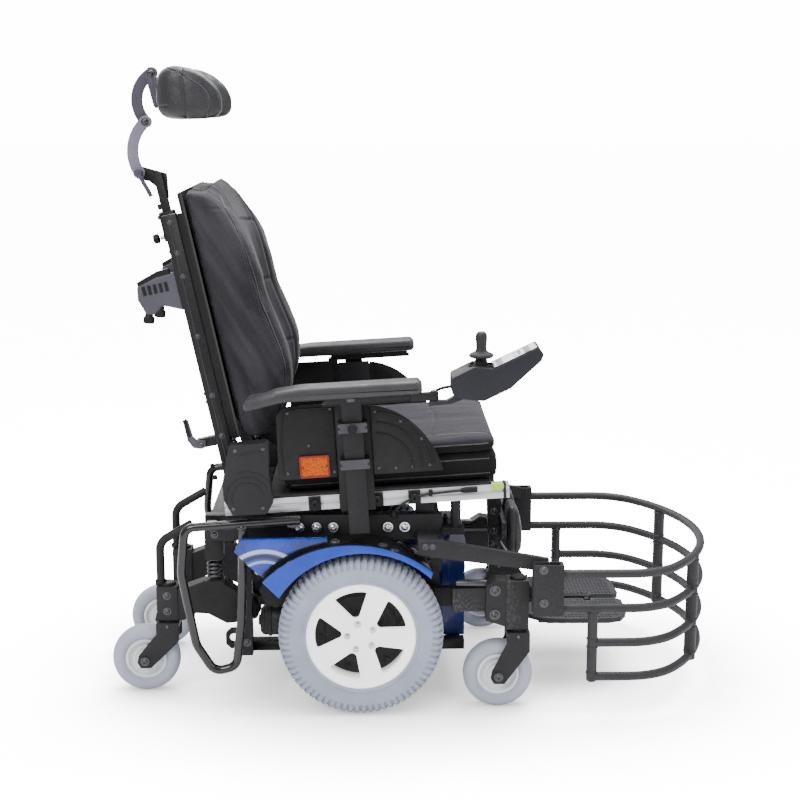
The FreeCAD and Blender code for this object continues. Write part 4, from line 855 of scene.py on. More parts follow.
def rear_suspension(side, word):
    body, y = "rear_suspension_" + word, side * CASTERS["rear"][1]
    stem = CASTERS["rear"][0]
    bm = bmesh.new()
    for z in (190, 226):
        bolt(bm, (stem, side * 161, z), (0, side, 0), 6.5, 5)
    bolt(bm, (-384, side * 158, 212), (0, side, 0), 5, 4)
    finish_piece("rear_arm_bolts_" + word, bm, SOCKET, body)
    bm = bmesh.new()
    spindle(bm, (stem, y, 246), UP, [(0, 19), (3, 19), (6, 16), (7, 9), (7.2, 0.05)], 32)
    spindle(bm, (stem - 15, y, 246), UP, [(0, 13), (8, 13), (11, 11)], 28)
    finish_piece("rear_arm_cap_" + word, bm, DARK, body)
    spring(y, word, body)


def spring(y, word, body):
    """Coil spring on the rear suspension, with a mesh of its own."""
    bm = bmesh.new()
    turns, mean, wire = 4.5, 15.0, 3.5
    steps = int(turns * 28)
    centres, tangents = [], []
    for k in range(steps + 1):
        t = k / steps
        angle = 2 * math.pi * turns * t
        rise = SPRING_LOW + wire + (SPRING_HIGH - SPRING_LOW - 2 * wire) * t
        centres.append(Vector((SPRING_X + mean * math.cos(angle), y + mean * math.sin(angle), rise)))
        tangents.append(Vector((-mean * math.sin(angle), mean * math.cos(angle),
                                41 / (2 * math.pi * turns))))
    ring_sweep(bm, centres, tangents, [wire] * len(centres), 12)
    coil = finish_piece("spring_coil_" + word, bm, SOCKET, body,
                        replaces=("spring_" + word,))
    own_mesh(coil)


def front_suspension(side, word):
    body = "front_suspension_" + word
    bm = bmesh.new()
    for z in (268, 214):
        bolt(bm, (289, side * 265.2, z), (0, side, 0), 8.5, 6)
    finish_piece("front_arm_bolts_" + word, bm, SOCKET, body)
    bm = bmesh.new()
    spindle(bm, (340, side * 245, 290), UP, CAP_PROFILE, 32)
    finish_piece("front_arm_cap_" + word, bm, DARK, body)
    bm = bmesh.new()
    spindle(bm, (206, side * 236, 276), (1, 0, -0.02), [(0, 8), (2, 9), (66, 9), (67, 6), (84, 6)], 24)
    finish_piece("front_damper_" + word, bm, SOCKET, body)


for side, word in SIDES:
    dress("rear_arm_" + word, CASTING, 1.6, 2, 36)
    dress("front_arm_" + word, CASTING, 2.2, 3, 34)
    rear_suspension(side, word)
    front_suspension(side, word)


# ---------------------------------------------------------------- base

for row in (("chassis_frame", BLACK, 2.0, 2, 50), ("battery_box", NAVY, 3.0, 3, 50),
            ("batteries", DARK, 2.0, 2, 50), ("control_module", DARK, 2.5, 2, 50)):
    dress(*row)

# Fender skins are blue, their outer rims gloss black, painted shade above the fender lip, and the covers
# behind them patterned blue.
shrouds = dress("body_shrouds", BLUE, 1.4, 3, 40)
shrouds.data.materials.append(COVER_BLUE)
shrouds.data.materials.append(GLOSS)
for polygon in shrouds.data.polygons:
    place = BASE.inverted() @ polygon.center
    away = math.hypot(place.x - FENDER_CENTRE[0], place.z - FENDER_CENTRE[1])
    if away > FENDER_RADIUS + 1.5:
        polygon.material_index = 1
    elif away > FENDER_RADIUS - 5 and abs(place.y) < 310:
        polygon.material_index = 2

for row in (("drive_motors", CASTING, 2.2, 2, 40), ("seat_rails", RAIL, 0.8, 2, 50),
            ("seat_brackets", BLACK, 1.0, 2, 50), ("guard_mounts", CASTING, 1.4, 2, 40),
            ("fasteners", STEEL, 0.8, 2, 50), ("side_panels", PANEL, 1.2, 2, 60)):
    dress(*row)


MOTOR_Y = 186


def base_details():
    steel, dark = bmesh.new(), bmesh.new()
    for side in (-1, 1):
        for x in (-132, -95, -59, 59, 95):
            bolt(steel, (x, side * 229.6, 402), (0, side, 0), 8.2, 6.5)
        for x, z in ((-252, 128), (-252, 330), (157, 140), (157, 330)):
            bolt(dark, (x, side * 196.2, z), (0, side, 0), 6.5, 4)
        for x in (-315, 150):
            bolt(dark, (x, side * 224.2, 386), (0, side, 0), 6, 4)
        for x, z in ((385, 335), (387, 262)):
            bolt(dark, (x, side * 330.2, z), (0, side, 0), 6.8, 5)
        for x in (137, 152):
            bolt(dark, (x, side * 300.2, 379), (0, side, 0), 4.8, 4)
        for x, z in ((-317, 414), (-143, 420)):
            bolt(dark, (x, side * 256, z - 8.5), (0, 0, -1), 5, 4)
    finish_piece("beam_bolt_heads", steel, STEEL, "base")
    liner = bmesh.new()
    for side in (-1, 1):
        prism(liner, rounded([(-222, 262), (-205, 225), (-150, 225), (-110, 300), (-120, 352),
                              (-190, 310)], 8), *span(side, 227.5, 230.5))
    finish_piece("wheel_well_liner", liner, DARK, "base", bevel=0.8)
    finish_piece("frame_bolt_heads", dark, SOCKET, "base")
    bm = bmesh.new()
    for side in (-1, 1):
        for k in range(7):
            x = -204 + 20 * k
            spindle(bm, (x, side * MOTOR_Y, AXLE_HEIGHT), (1, 0, 0),
                    [(0, 33), (1.2, 35.6), (6.5, 35.6), (7.7, 33)], 48)
        spindle(bm, (-212, side * MOTOR_Y, AXLE_HEIGHT), (-1, 0, 0),
                [(0, 33), (4, 32), (9, 26), (10, 12), (14, 11), (15, 0.05)], 48)
        spindle(bm, (0, side * 226, AXLE_HEIGHT), (0, side, 0), [(0, 46), (3, 46), (6, 42), (6.5, 18)], 48)
    finish_piece("motor_fins", bm, CASTING, "base", angle=50)
    bm = bmesh.new()
    for x in (-131, 233):
        way = -1 if x < 0 else 1
        for z in (170, 200, 230, 260):
            prism(bm, rounded(box_outline((-96, 96), (z, z + 12)), 5), x, x + way * 2.6, "x")
    for side in (-1, 1):
        for x in (-100, -60, -20, 20, 60, 100, 140, 180):
            prism(bm, rounded(box_outline((x, x + 16), (150, 306)), 5), *span(side, 134, 136.6))
    finish_piece("battery_box_ribs", bm, NAVY, "base", bevel=0.8)
    bm = bmesh.new()
    for side in (-1, 1):
        pipe(bm, [(198, side * 60, 333), (198, side * 60, 344), (198, side * 30, 350),
                  (198, side * 6, 350)], 5, 12, 6)
    pipe(bm, [(198, -8, 350), (198, 0, 350.5), (198, 8, 350)], 6.4, 14, 6)
    finish_piece("battery_lid_handle", bm, DARK, "base")
    bm = bmesh.new()
    for k in range(9):
        block(bm, (-92 + 19 * k, -86 + 19 * k), (-88, 88), (365.5, 369.5))
    finish_piece("module_fins", bm, DARK, "base", bevel=0.8)


base_details()


def wiring():
    """Harness runs between the module, the motors and the beams, held by the frame."""
    bm = bmesh.new()
    for side in (-1, 1):
        for n in range(3):
            offset = n * 7
            pipe(bm, [(-94, side * (60 + offset), 352), (-112, side * (90 + offset), 350 - n),
                      (-150, side * (150 + offset), 330), (-196, side * (170 + offset / 2), 290),
                      (-214, side * (176 + offset / 3), 240), (-206, side * (184 - offset / 3), 214)],
                 3.0, 10, 8)
        pipe(bm, [(66, side * 70, 352), (96, side * 110, 356), (130, side * 160, 362),
                  (160, side * 188, 366), (186, side * 204, 378), (205, side * 206, 392)], 4.2, 12, 8)
    finish_piece("inner_harness", bm, LEAD, "base")
    bm = bmesh.new()
    for side in (-1, 1):
        centres, tangents = smooth_path([(-296, side * 180, 404), (-200, side * 176, 412),
                                         (-80, side * 182, 410), (60, side * 178, 410),
                                         (146, side * 184, 406)], 24)
        radii = [5.6 + 0.9 * math.sin(k * 2.1) for k in range(len(centres))]
        ring_sweep(bm, centres, tangents, radii, 12)
    finish_piece("harness_conduit", bm, DARK, "base")


wiring()


def bent(bm, points, radii, radius, sides=20):
    """Bent steel tube: straight runs with round bends of the given radii."""
    pts = [Vector(p) for p in points]
    centres, tangents = [pts[0]], [pts[1] - pts[0]]
    for before, corner, after, bend in zip(pts, pts[1:], pts[2:], radii):
        a, b = (before - corner).normalized(), (after - corner).normalized()
        half = a.angle(b) / 2
        back = bend / math.tan(half)
        middle = corner + (a + b).normalized() * (bend / math.sin(half))
        start, end = corner + a * back, corner + b * back
        steps = max(3, int((math.pi - 2 * half) / 0.14))
        arm, aim = start - middle, end - middle
        sweep = arm.angle(aim)
        for k in range(steps + 1):
            t = sweep * k / steps
            reach = (arm * math.sin(sweep - t) + aim * math.sin(t)) / math.sin(sweep)
            centres.append(middle + reach)
            tangents.append((aim * math.cos(t) - arm * math.cos(sweep - t)).normalized())
    centres.append(pts[-1])
    tangents.append(pts[-1] - pts[-2])
    ring_sweep(bm, centres, tangents, [radius] * len(centres), sides)


def rear_guards():
    bm = bmesh.new()
    for side in (-1, 1):
        y = side * 262
        bent(bm, [(-130, y, 428), (-374, y, 412), (-384, y, 310), (-356, y, 150), (-318, y, 88),
                  (-270, y, 100), (-258, y, 200), (-254, y, 307)], [24, 80, 60, 26, 26, 80], 9.5)
        bent(bm, [(-254, y, 307), (-250, y, 418)], [], 9.5)
        for x, z in ((-330, 406), (-156, 412)):
            prism(bm, rounded(box_outline((x, x + 26), (z, z + 16)), 4), *span(side, 224.4, 262))
        spindle(bm, (-130, y, 428), (1, 0, 0.065), [(0, 9.5), (1.5, 9.2), (3, 7), (3.4, 0.05)], 20)
        spindle(bm, (-250.4, y, 408), (0.04, 0, 1), [(0, 10.6), (2, 12.4), (8, 12.4), (10, 10.6)], 24)
    finish_piece("rear_guard_tubes", bm, GLOSS, "base", angle=44,
                 replaces=("rear_guards",))


rear_guards()

# Half width, nose and corner bends, tube and channel positions of the cage.
GUARD = {"half": 312.0, "nose": 780.0, "nose_bend": 400.0, "corner_bend": 140.0, "tube": 9.5,
         "top": 320.5, "pitch": 76.8, "channel": 429.0, "post": 494.0, "corner_post": 732.0}


def guard_ring(bm, height, back):
    """Ring from one side round the nose to the other side."""
    half, big, small = GUARD["half"], GUARD["nose_bend"], GUARD["corner_bend"]
    centre_x = GUARD["nose"] - big
    across = half - small
    corner_x = centre_x + math.sqrt((big - small) ** 2 - across ** 2)
    turn = math.atan2(across, corner_x - centre_x)
    line = [(back, half, 1.0, 0.0)]
    for k in range(13):
        a = math.pi / 2 + (turn - math.pi / 2) * k / 12
        line.append((corner_x + small * math.cos(a), across + small * math.sin(a),
                     math.sin(a), -math.cos(a)))
    for k in range(1, 36):
        a = turn - 2 * turn * k / 36
        line.append((centre_x + big * math.cos(a), big * math.sin(a), math.sin(a), -math.cos(a)))
    for k in range(13):
        a = -turn + (turn - math.pi / 2) * k / 12
        line.append((corner_x + small * math.cos(a), -across + small * math.sin(a),
                     math.sin(a), -math.cos(a)))
    line.append((back, -half, -1.0, 0.0))
    ring_sweep(bm, [Vector((x, y, height)) for x, y, _, _ in line],
               [Vector((a, b, 0)) for _, _, a, b in line], [GUARD["tube"]] * len(line), 24)


def guard_cage():
    """Four rings, four posts and the weld beads where they meet."""
    pitch, top = GUARD["pitch"], GUARD["top"]
    centre_x = GUARD["nose"] - GUARD["nose_bend"]
    corner_y = math.sqrt(GUARD["nose_bend"] ** 2 - (GUARD["corner_post"] - centre_x) ** 2)
    tubes, beads = bmesh.new(), bmesh.new()
    for n in range(4):
        guard_ring(tubes, top - n * pitch, GUARD["channel"] if n < 2 else GUARD["post"])

    def bead(x, y, z, radius, way):
        spindle(beads, (x, y, z + way * 7.6), (0, 0, way),
                [(0, radius + 0.4), (1.2, radius + 1.8), (2.8, radius + 1.5), (4.2, radius + 0.2)], 28)

    low = top - 3 * pitch
    for side in (-1, 1):
        for x, y, radius, high in ((GUARD["post"], side * GUARD["half"], 11, low + 2 * pitch),
                                   (GUARD["corner_post"], side * corner_y, 13, top)):
            spindle(tubes, (x, y, low), UP, [(0, radius), (high - low, radius)], 28)
            spindle(tubes, (x, y, low), (0, 0, -1),
                    [(0, radius), (8, radius), (10.2, radius - 2.6), (11, 0.05)], 28)
            steps = round((high - low) / pitch)
            for n in range(steps + 1):
                if n < steps:
                    bead(x, y, low + n * pitch, radius, 1)
                if n:
                    bead(x, y, low + n * pitch, radius, -1)
    finish_piece("guard_tubes", tubes, CHARCOAL, "base", angle=60,
                 replaces=("guard_cage",))
    finish_piece("guard_weld_beads", beads, CHARCOAL, "base", angle=60)


guard_cage()


# ---------------------------------------------------------------- seat metalwork and panels

def seat_details():
    backing = bmesh.new()
    for side in (-1, 1):
        prism(backing, rounded([(-72, 80), (22, 80), (22, 224), (-72, 230)], 3),
              *span(side, 258.2, 260.6))
    finish_piece("panel_gap_backing", backing, DARK, "base", SEAT, bevel=0.5)
    dark, grey, knobs = bmesh.new(), bmesh.new(), bmesh.new()
    for side in (-1, 1):
        for z in (110, 188):
            for x in (-54, 4):
                bolt(dark, (x, side * 297.2, z), (0, side, 0), 3.6, 3)
            prism(grey, rounded(box_outline((-56, 6), (z - 10.4, z + 10.4)), 3),
                  *span(side, 296.4, 299))
        for x in (-118, -52, 16, 96):
            block(dark, (x - 13, x + 13), span(side, 233, 240), (1, 31))
            spindle(knobs, (x, side * 240, 16), (0, side, 0),
                    [(0, 9), (3, 9.5), (9, 9.5), (11, 8), (11.5, 3), (8, 2.6)], 24)
        for x in (-262, 290):
            block(dark, (x - 3, x + 3), span(side, 209, 236), (-1.2, 33.2))
    finish_piece("rail_clamps", dark, BLACK, "base", SEAT, bevel=0.8)
    finish_piece("post_strap_faces", grey, STRAP, "base", SEAT, bevel=1.0)
    finish_piece("rail_clamp_knobs", knobs, DARK, "base", SEAT)

    ribs, screws = bmesh.new(), bmesh.new()
    for side in (-1, 1):
        y = side * 266.2
        for scale in (0.62, 0.78, 0.94):
            points = []
            for k in range(17):
                angle = math.radians(4 + 82 * k / 16)
                points.append((16 + 132 * scale * math.cos(angle), y,
                               80 + 142 * scale * math.sin(angle) ** 0.92))
            pipe(ribs, points, 2.3, 10, 2)
        pipe(ribs, [(-176, y, 90), (-178, y, 150), (-172, y, 210), (-158, y, 226), (-120, y, 229),
                    (-72, y, 229)], 2.0, 10, 6)
        for x, z in ((24, 92), (60, 90), (96, 90), (132, 92), (24, 214), (76, 190), (118, 150),
                     (-70, 90), (-70, 226), (-168, 92), (-160, 222), (-120, 150)):
            spindle(screws, (x, side * 265.6, z), (0, side, 0),
                    [(0, 3.6), (1.4, 3.6), (2.4, 2.6), (2.5, 1.4), (1.2, 1.2), (1.2, 0.05)], 14)
    finish_piece("side_panel_ribs", ribs, PANEL, "base", SEAT)
    finish_piece("side_panel_screws", screws, SOCKET, "base", SEAT)

    lens, rim = bmesh.new(), bmesh.new()
    for side in (-1, 1):
        prism(lens, rounded(box_outline((-139, -82), (84, 125)), 3), *span(side, 266.2, 270.6))
        frame_ring(rim, rounded(box_outline((-142, -79), (81, 128)), 4, 4),
                   rounded(box_outline((-138, -83), (85, 124)), 3, 4), *span(side, 266.1, 271.6))
        for x in (-136, -85):
            spindle(rim, (x, side * 270.4, 104.5), (0, side, 0), [(0, 2.6), (1.6, 2.4), (1.8, 1)], 12)
    finish_piece("reflector_lenses", lens, ORANGE, "base", SEAT, bevel=0.8,
                 replaces=("reflectors",))
    finish_piece("reflector_frames", rim, RED_RIM, "base", SEAT, bevel=0.4)


seat_details()


def hinge_covers():
    dress("hinge_covers", COVER, 1.0, 2, 60)
    bm, screws = bmesh.new(), bmesh.new()
    for side in (-1, 1):
        y = side * 274.4
        for radius, low, high in ((34, 20, 200), (46, 30, 190), (58, 40, 120)):
            points = []
            for k in range(19):
                angle = math.radians(low + (high - low) * k / 18)
                points.append((-238 + radius * math.cos(angle), y, 478 + radius * math.sin(angle)))
            pipe(bm, points, 1.6, 8, 2)
        pipe(bm, [(-262, y, 570), (-240, y, 577), (-205, y, 580)], 1.6, 8, 6)
        for x, z in ((-262, 582), (-204, 586), (-268, 456), (-206, 458)):
            spindle(screws, (x, side * 273.8, z), (0, side, 0),
                    [(0, 4.2), (1.6, 4.2), (2.6, 3.0), (2.7, 1.6), (1.2, 1.4), (1.2, 0.05)], 16)
    finish_piece("hinge_cover_lines", bm, COVER, "base")
    finish_piece("hinge_cover_screws", screws, SOCKET, "base")


hinge_covers()


LEAD_ROUTE = ((70, -229, 431), (77, -242, 448), (120, -242, 475), (172, -240, 481), (222, -241, 486))


def control_lead():
    """Lead from the beam to the plug on the seat rail, its clip and the lime strap tag."""
    curve = bpy.data.curves.new("joystick_lead_line", "CURVE")
    curve.dimensions = "3D"
    curve.bevel_depth = 0.003
    curve.bevel_resolution = 5
    curve.resolution_u = 16
    spline = curve.splines.new("NURBS")
    spline.points.add(len(LEAD_ROUTE) - 1)
    for point, place in zip(spline.points, LEAD_ROUTE):
        point.co = (*(BASE @ Vector(place)), 1)
    spline.order_u = 3
    spline.use_endpoint_u = True
    lead = bpy.data.objects.new("joystick_lead_line", curve)
    bpy.context.collection.objects.link(lead)
    curve.materials.append(LEAD)
    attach(lead, "base")
    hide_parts("joystick_lead")
    bm = bmesh.new()
    spindle(bm, (214, -241, 485.4), (1, 0, 0.07),
            [(0, 3.6), (3, 5), (10, 6.2), (34, 6.4), (36, 5.6), (36.4, 0.05)], 20)
    spindle(bm, (71, -230.5, 424), (0, -0.1, 1), [(0, 7), (6, 7), (8, 5.4), (14, 4.2)], 20)
    block(bm, (146, 154), (-246, -234.8), (474, 487))
    finish_piece("lead_plug_and_clip", bm, DARK, "base", bevel=0.8)
    bm = bmesh.new()
    rows = []
    for k in range(9):
        t = k / 8
        x = 281 + 27 * t
        wave = 2.4 * math.sin(5 * t)
        rows.append([bm.verts.new((x, y - wave, 484 + 3 * t + h * (1 - 0.25 * t)))
                     for y, h in ((-237, 0), (-237.4, 17), (-238.8, 17), (-238.8, 0))])
    skin(bm, rows)
    finish_piece("lime_strap_tag", bm, LIME, "base", sub=1)


control_lead()


# ---------------------------------------------------------------- backrest

for row in (("back_frame", BLACK, 1.6, 2, 40), ("back_shell", DARK, 1.2, 2, 50),
            ("push_handles", GRIP, 5.0, 4, 34), ("recline_lever", GRIP, 1.8, 3, 40),
            ("headrest_post", BLACK, 1.2, 2, 40)):
    dress(*row)


def back_details():
    bright, dark, teeth, black = bmesh.new(), bmesh.new(), bmesh.new(), bmesh.new()
    for side in (-1, 1):
        # Thin lighter strips down the middle of each cane and along the shell's edge: painted highlights.
        prism(bright, rounded(box_outline((-7, -4.4), (30, 592)), 1), *span(side, 204.1, 205.4))
        prism(bright, rounded(box_outline((31.6, 36), (112, 638)), 1.6), *span(side, 214.2, 215.2))
        for w in (40, 120, 210, 340, 470, 520, 585):
            bolt(dark, (-3, side * 204.2, w), (0, side, 0), 4.6, 3.4)
        for w in (196, 214, 506, 524):
            bolt(dark, (-18.4, side * 191, w), (-1, 0, 0), 4.2, 3.4)
        for k in range(15):
            spindle(teeth, (18, side * 191, -52 + 11 * k), UP,
                    [(0, 5.2), (3, 7.2), (7, 7.2), (10, 5.2)], 14)
        prism(black, rounded([(-100, 462), (-30, 478), (-30, 492), (-58, 490), (-103, 476)], 3),
              *span(side, 182, 200))
        for u, w in ((-92, 410), (-66, 418)):
            spindle(black, (u, side * 191, w), (-0.3, 0, -1),
                    [(0, 8), (8, 9), (12, 12), (22, 12), (24, 10), (24.5, 0.05)], 20)
        for k in range(5):
            block(black, (-94 + 12 * k, -87 + 12 * k), span(side, 202, 203.4), (446, 466))
    finish_piece("cane_painted_highlight_lines", bright, HIGHLIGHT_STRIP, "backrest", BACK, bevel=0.4)
    finish_piece("back_bolts", dark, SOCKET, "backrest", BACK)
    finish_piece("recline_rack_beads", teeth, SOCKET, "backrest", BACK)
    finish_piece("push_handle_trim", black, DARK, "backrest", BACK, bevel=1.2)
    bm = bmesh.new()
    profile = []
    for k in range(24):
        h = -150 + 300 * k / 23
        profile += [(h, 14.4), (h + 8.5, 14.4), (h + 9.5, 13.2), (h + 12.0, 13.2)]
    spindle(bm, (-88, 0, 440), (0, 1, 0), profile[:-2], 28)
    finish_piece("push_bar_sleeve", bm, BOOT, "backrest", BACK, angle=50)
    bm = bmesh.new()
    for k in range(4):
        z = 150 + 120 * k
        prism(bm, rounded(box_outline((-150, 150), (z, z + 70)), 10), 24.2, 26.2, "x")
    finish_piece("shell_ribs", bm, DARK, "backrest", BACK, bevel=0.8)
    bm = bmesh.new()
    bolt(bm, (-48, -214.2, 112), (0, -1, 0), 5.6, 4.2)
    finish_piece("recline_lever_bolt", bm, SOCKET, "backrest", BACK)
    bm = bmesh.new()
    pipe(bm, [(-70, -208.3, 134), (-71, -208.3, 148), (-71, -208.3, 162), (-72, -208.3, 171)], 5.4, 14, 6)
    finish_piece("recline_lever_grip", bm, DARK, "recline_lever", BACK)
    bm = bmesh.new()
    for way in (-1, 1):
        spindle(bm, (-49.8, way * 14, 590), (-1, 0, 0), [(0, 5), (4, 5), (5, 4)], 6)
    spindle(bm, (-49.8, 0, 545), (-1, 0, 0), [(0, 9), (3, 8.4), (3.2, 5)], 24)
    finish_piece("clamp_block_screws", bm, SOCKET, "backrest", BACK)


back_details()


# Front and rear outlines of the back cushion, (height, depth) pairs going up the back.
BACK_FRONT = [(96, 88), (104, 108), (121, 126), (158, 152), (190, 167), (240, 177), (272, 176),
              (330, 166), (385, 156), (449, 155), (508, 150), (550, 140), (600, 123), (636, 108),
              (654, 92), (661, 78)]
BACK_REAR = [(96, 64), (110, 46), (137, 38), (640, 38), (654, 42), (659, 50)]


def interpolate(table, x):
    heights = [a for a, _ in table]
    return float(np.interp(x, heights, [b for _, b in table]))


def ease(t):
    """Smooth step from 0 to 1."""
    t = min(1.0, max(0.0, t))
    return t * t * (3 - 2 * t)


def back_front(w, y):
    """Depth of the cushion's face: side bolsters stand proud of the middle."""
    full, rear = interpolate(BACK_FRONT, w), interpolate(BACK_REAR, w)
    bolster = ease((abs(y) - 78) / 78)
    scoop = 0.27 * math.sin(math.pi * min(1, max(0, (w - 96) / 557))) ** 0.6
    return rear + (full - rear) * (1 - scoop * (1 - bolster))


def shoulder(u, y, w):
    """How far the top of the back cushion drops towards its sides."""
    ahead = 0.30 + 0.70 * min(1.0, max(0.0, (u - 42) / 70))
    return 44 * ahead * ease((w - 470) / 180) * (abs(y) / 216) ** 2.2


def back_cushion():
    shrink = 5.0
    half, corner = 222 - shrink - 1, 26
    bm = bmesh.new()
    levels = [96 + shrink + (563 - 2 * shrink) * k / 46 for k in range(47)]
    rings = []
    for w in levels:
        rear = interpolate(BACK_REAR, w) + 2

        def front(y):
            over = max(0.0, abs(y) - (half - corner))
            drop = corner - math.sqrt(max(0.0, corner ** 2 - over ** 2))
            return max(rear + 3, back_front(w, y) - shrink - drop)

        side_top = front(half)
        ring = [(rear, y) for y in np.linspace(-half + 6, half - 6, 14)]
        ring += [(rear + (side_top - rear) * t, half) for t in (0.12, 0.35, 0.6, 0.85)]
        ring += [(front(y), y) for y in np.linspace(half, -half, 48)]
        ring += [(rear + (side_top - rear) * t, -half) for t in (0.85, 0.6, 0.35, 0.12)]
        rings.append([bm.verts.new((u, y, w - shoulder(u, y, w))) for u, y in ring])
    skin(bm, rings)

    def folds(p, n):
        u, y, w = p
        amount = 0.0
        seam = u - (interpolate(BACK_FRONT, w) - 13)
        if abs(n.y) > 0.55:  # side seam, its puckers and the slack folds of the sides
            amount += groove(seam, 2.6, 3.4) + 1.3 * math.exp(-((abs(seam) - 7) / 5) ** 2)
            high = 1 / (1 + math.exp((330 - w) / 40))
            lean = (u * 0.90 + w * 0.42) / 40 + 0.5 * noise.noise(Vector((u / 70, 3.1 + y / 300, w / 120)))
            fall = (u * 0.97 + w * 0.16) / 40 + 0.6 * noise.noise(Vector((u / 60, 9.4 + y / 300, w / 140)))
            mask = 0.55 + 0.9 * noise.noise(Vector((u / 60, 7.7, w / 120)))
            amount += mask * math.exp(-((u - 92) / 62) ** 2) * (
                4.8 * high * math.sin(lean * 6.283) + 3.2 * (1 - high) * math.sin(fall * 6.283))
            amount += groove(w - 590 + (u - 100) * 0.35, 2.2, 1.4)
        if n.x > 0.2:  # seams along the bolsters and across the face
            edge = abs(y) - 128
            amount += groove(edge, 3.0, 4.2) + 1.4 * math.exp(-((abs(edge) - 9) / 6) ** 2)
            if abs(y) < 128:
                for line in (250, 400, 540):
                    amount += groove(w - line - 10 * math.cos(y / 60), 3.4, 3.6)
            amount += 1.2 * noise.noise(Vector((y / 24, w / 80, 1.3)))
        if n.x < -0.3:
            amount += groove(abs(y) - 200, 3, 2)
        amount += 0.9 * noise.noise(Vector((u / 30, y / 34, w / 30)))
        return amount

    piece = stuffed("back_cushion_cover", bm, BACK_CLOTH, "backrest", BACK, 6.0, 6.0,
                    folds, ("back_cushion",))
    for side, word in SIDES:
        surface_cord("back_side_piping_" + word, piece,
                     [(interpolate(BACK_FRONT, w) - 13, side * 226, w) for w in np.linspace(120, 612, 54)],
                     (0, side, 0), 1.7, "backrest", BACK)
        surface_cord("back_face_piping_" + word, piece,
                     [(260, side * 128, w) for w in np.linspace(128, 628, 54)],
                     (1, 0, 0), 1.5, "backrest", BACK)
        for offset, tag in ((-22.5, "a"), (-8.5, "b")):
            stitches("back_stitch_%s_%s" % (word, tag), piece,
                     [(interpolate(BACK_FRONT, w) + offset, side * 226, w)
                      for w in np.linspace(126, 606, 150)],
                     (0, side, 0), BACK, "backrest")


back_cushion()


# ---------------------------------------------------------------- headrest

for row in (("headrest_lower_link", LOW_LINK, 1.6, 3, 36), ("headrest_upper_link", LINK, 1.6, 3, 36),
            ("headrest_bracket", LINK, 1.2, 2, 36)):
    dress(*row)


def headrest_details():
    for name, body, x, z in (("a", "headrest_lower", -483, 1147), ("b", "headrest_lower", -466, 1257),
                             ("c", "headrest_upper", -450, 1361)):
        bm = bmesh.new()
        for side in (-1, 1):
            bolt(bm, (x, side * 10.6, z), (0, side, 0), 6.6, 4.2)
        finish_piece("headrest_bolt_" + name, bm, SOCKET, body)
    bm = bmesh.new()
    spindle(bm, (-483, -16, 1147), (0, -1, 0), [(0, 9), (5, 9), (7, 7)], 24)
    pipe(bm, [(-483, -20, 1147), (-474, -21, 1130), (-462, -21, 1108), (-456, -21, 1096)], 4.6, 14, 6)
    finish_piece("headrest_clamp_lever", bm, LINK, "headrest_upright")
    bm = bmesh.new()
    spindle(bm, (-77.5, 0, 545), (1, 0, 0), [(0, 8), (1.5, 10.5), (12, 11), (14, 8)], 28)
    for way in (-1, 1):
        prism(bm, rounded([(-2, way * 8), (2, way * 8), (2.6, way * 19), (-2.6, way * 19)][::way], 1.4),
              -76, -66, "x")
    finish_piece("headrest_knob_wings", bm, DARK, "headrest_knob", BACK, bevel=1.0,
                 replaces=("headrest_knob",))
    bm = bmesh.new()
    spindle(bm, (-61, 0, 545), (1, 0, 0), [(0, 3.9), (14, 3.9), (15, 3.2)], 20)
    finish_piece("headrest_knob_screw", bm, STEEL, "headrest_knob", BACK)
    bm = bmesh.new()
    for k in range(9):
        block(bm, (-43.8, -42.7), (-6, 6), (624 + 8 * k, 627 + 8 * k))
    finish_piece("headrest_bar_marks", bm, SOCKET, "headrest_upright", BACK)


headrest_details()

HEAD_TOP = [(-434, 1352), (-424, 1371), (-406, 1377), (-372, 1376), (-346, 1368), (-322, 1357),
            (-303, 1341), (-291, 1322), (-286, 1304)]
HEAD_LOW = [(-434, 1280), (-427, 1268), (-414, 1262), (-318, 1262), (-298, 1266), (-288, 1278),
            (-286, 1290)]


def head_seam(z):
    """X of the curved seam on the wings of the headrest at a height."""
    if z > 1305:
        return -313 - 35 * ((z - 1305) / 40) ** 2
    return -313 - 11 * ((1305 - z) / 43) ** 2


def headrest_reach(c, s, inner):
    """How far from its centre of curvature the headrest goes in a direction."""
    outer = inner
    while outer < 200:
        x, y = 252 + outer * c, abs(outer * s)
        if x > 431 or y > 127 or math.hypot(max(0, x - 373), max(0, y - 69)) > 57:
            break
        outer += 0.5
    return outer


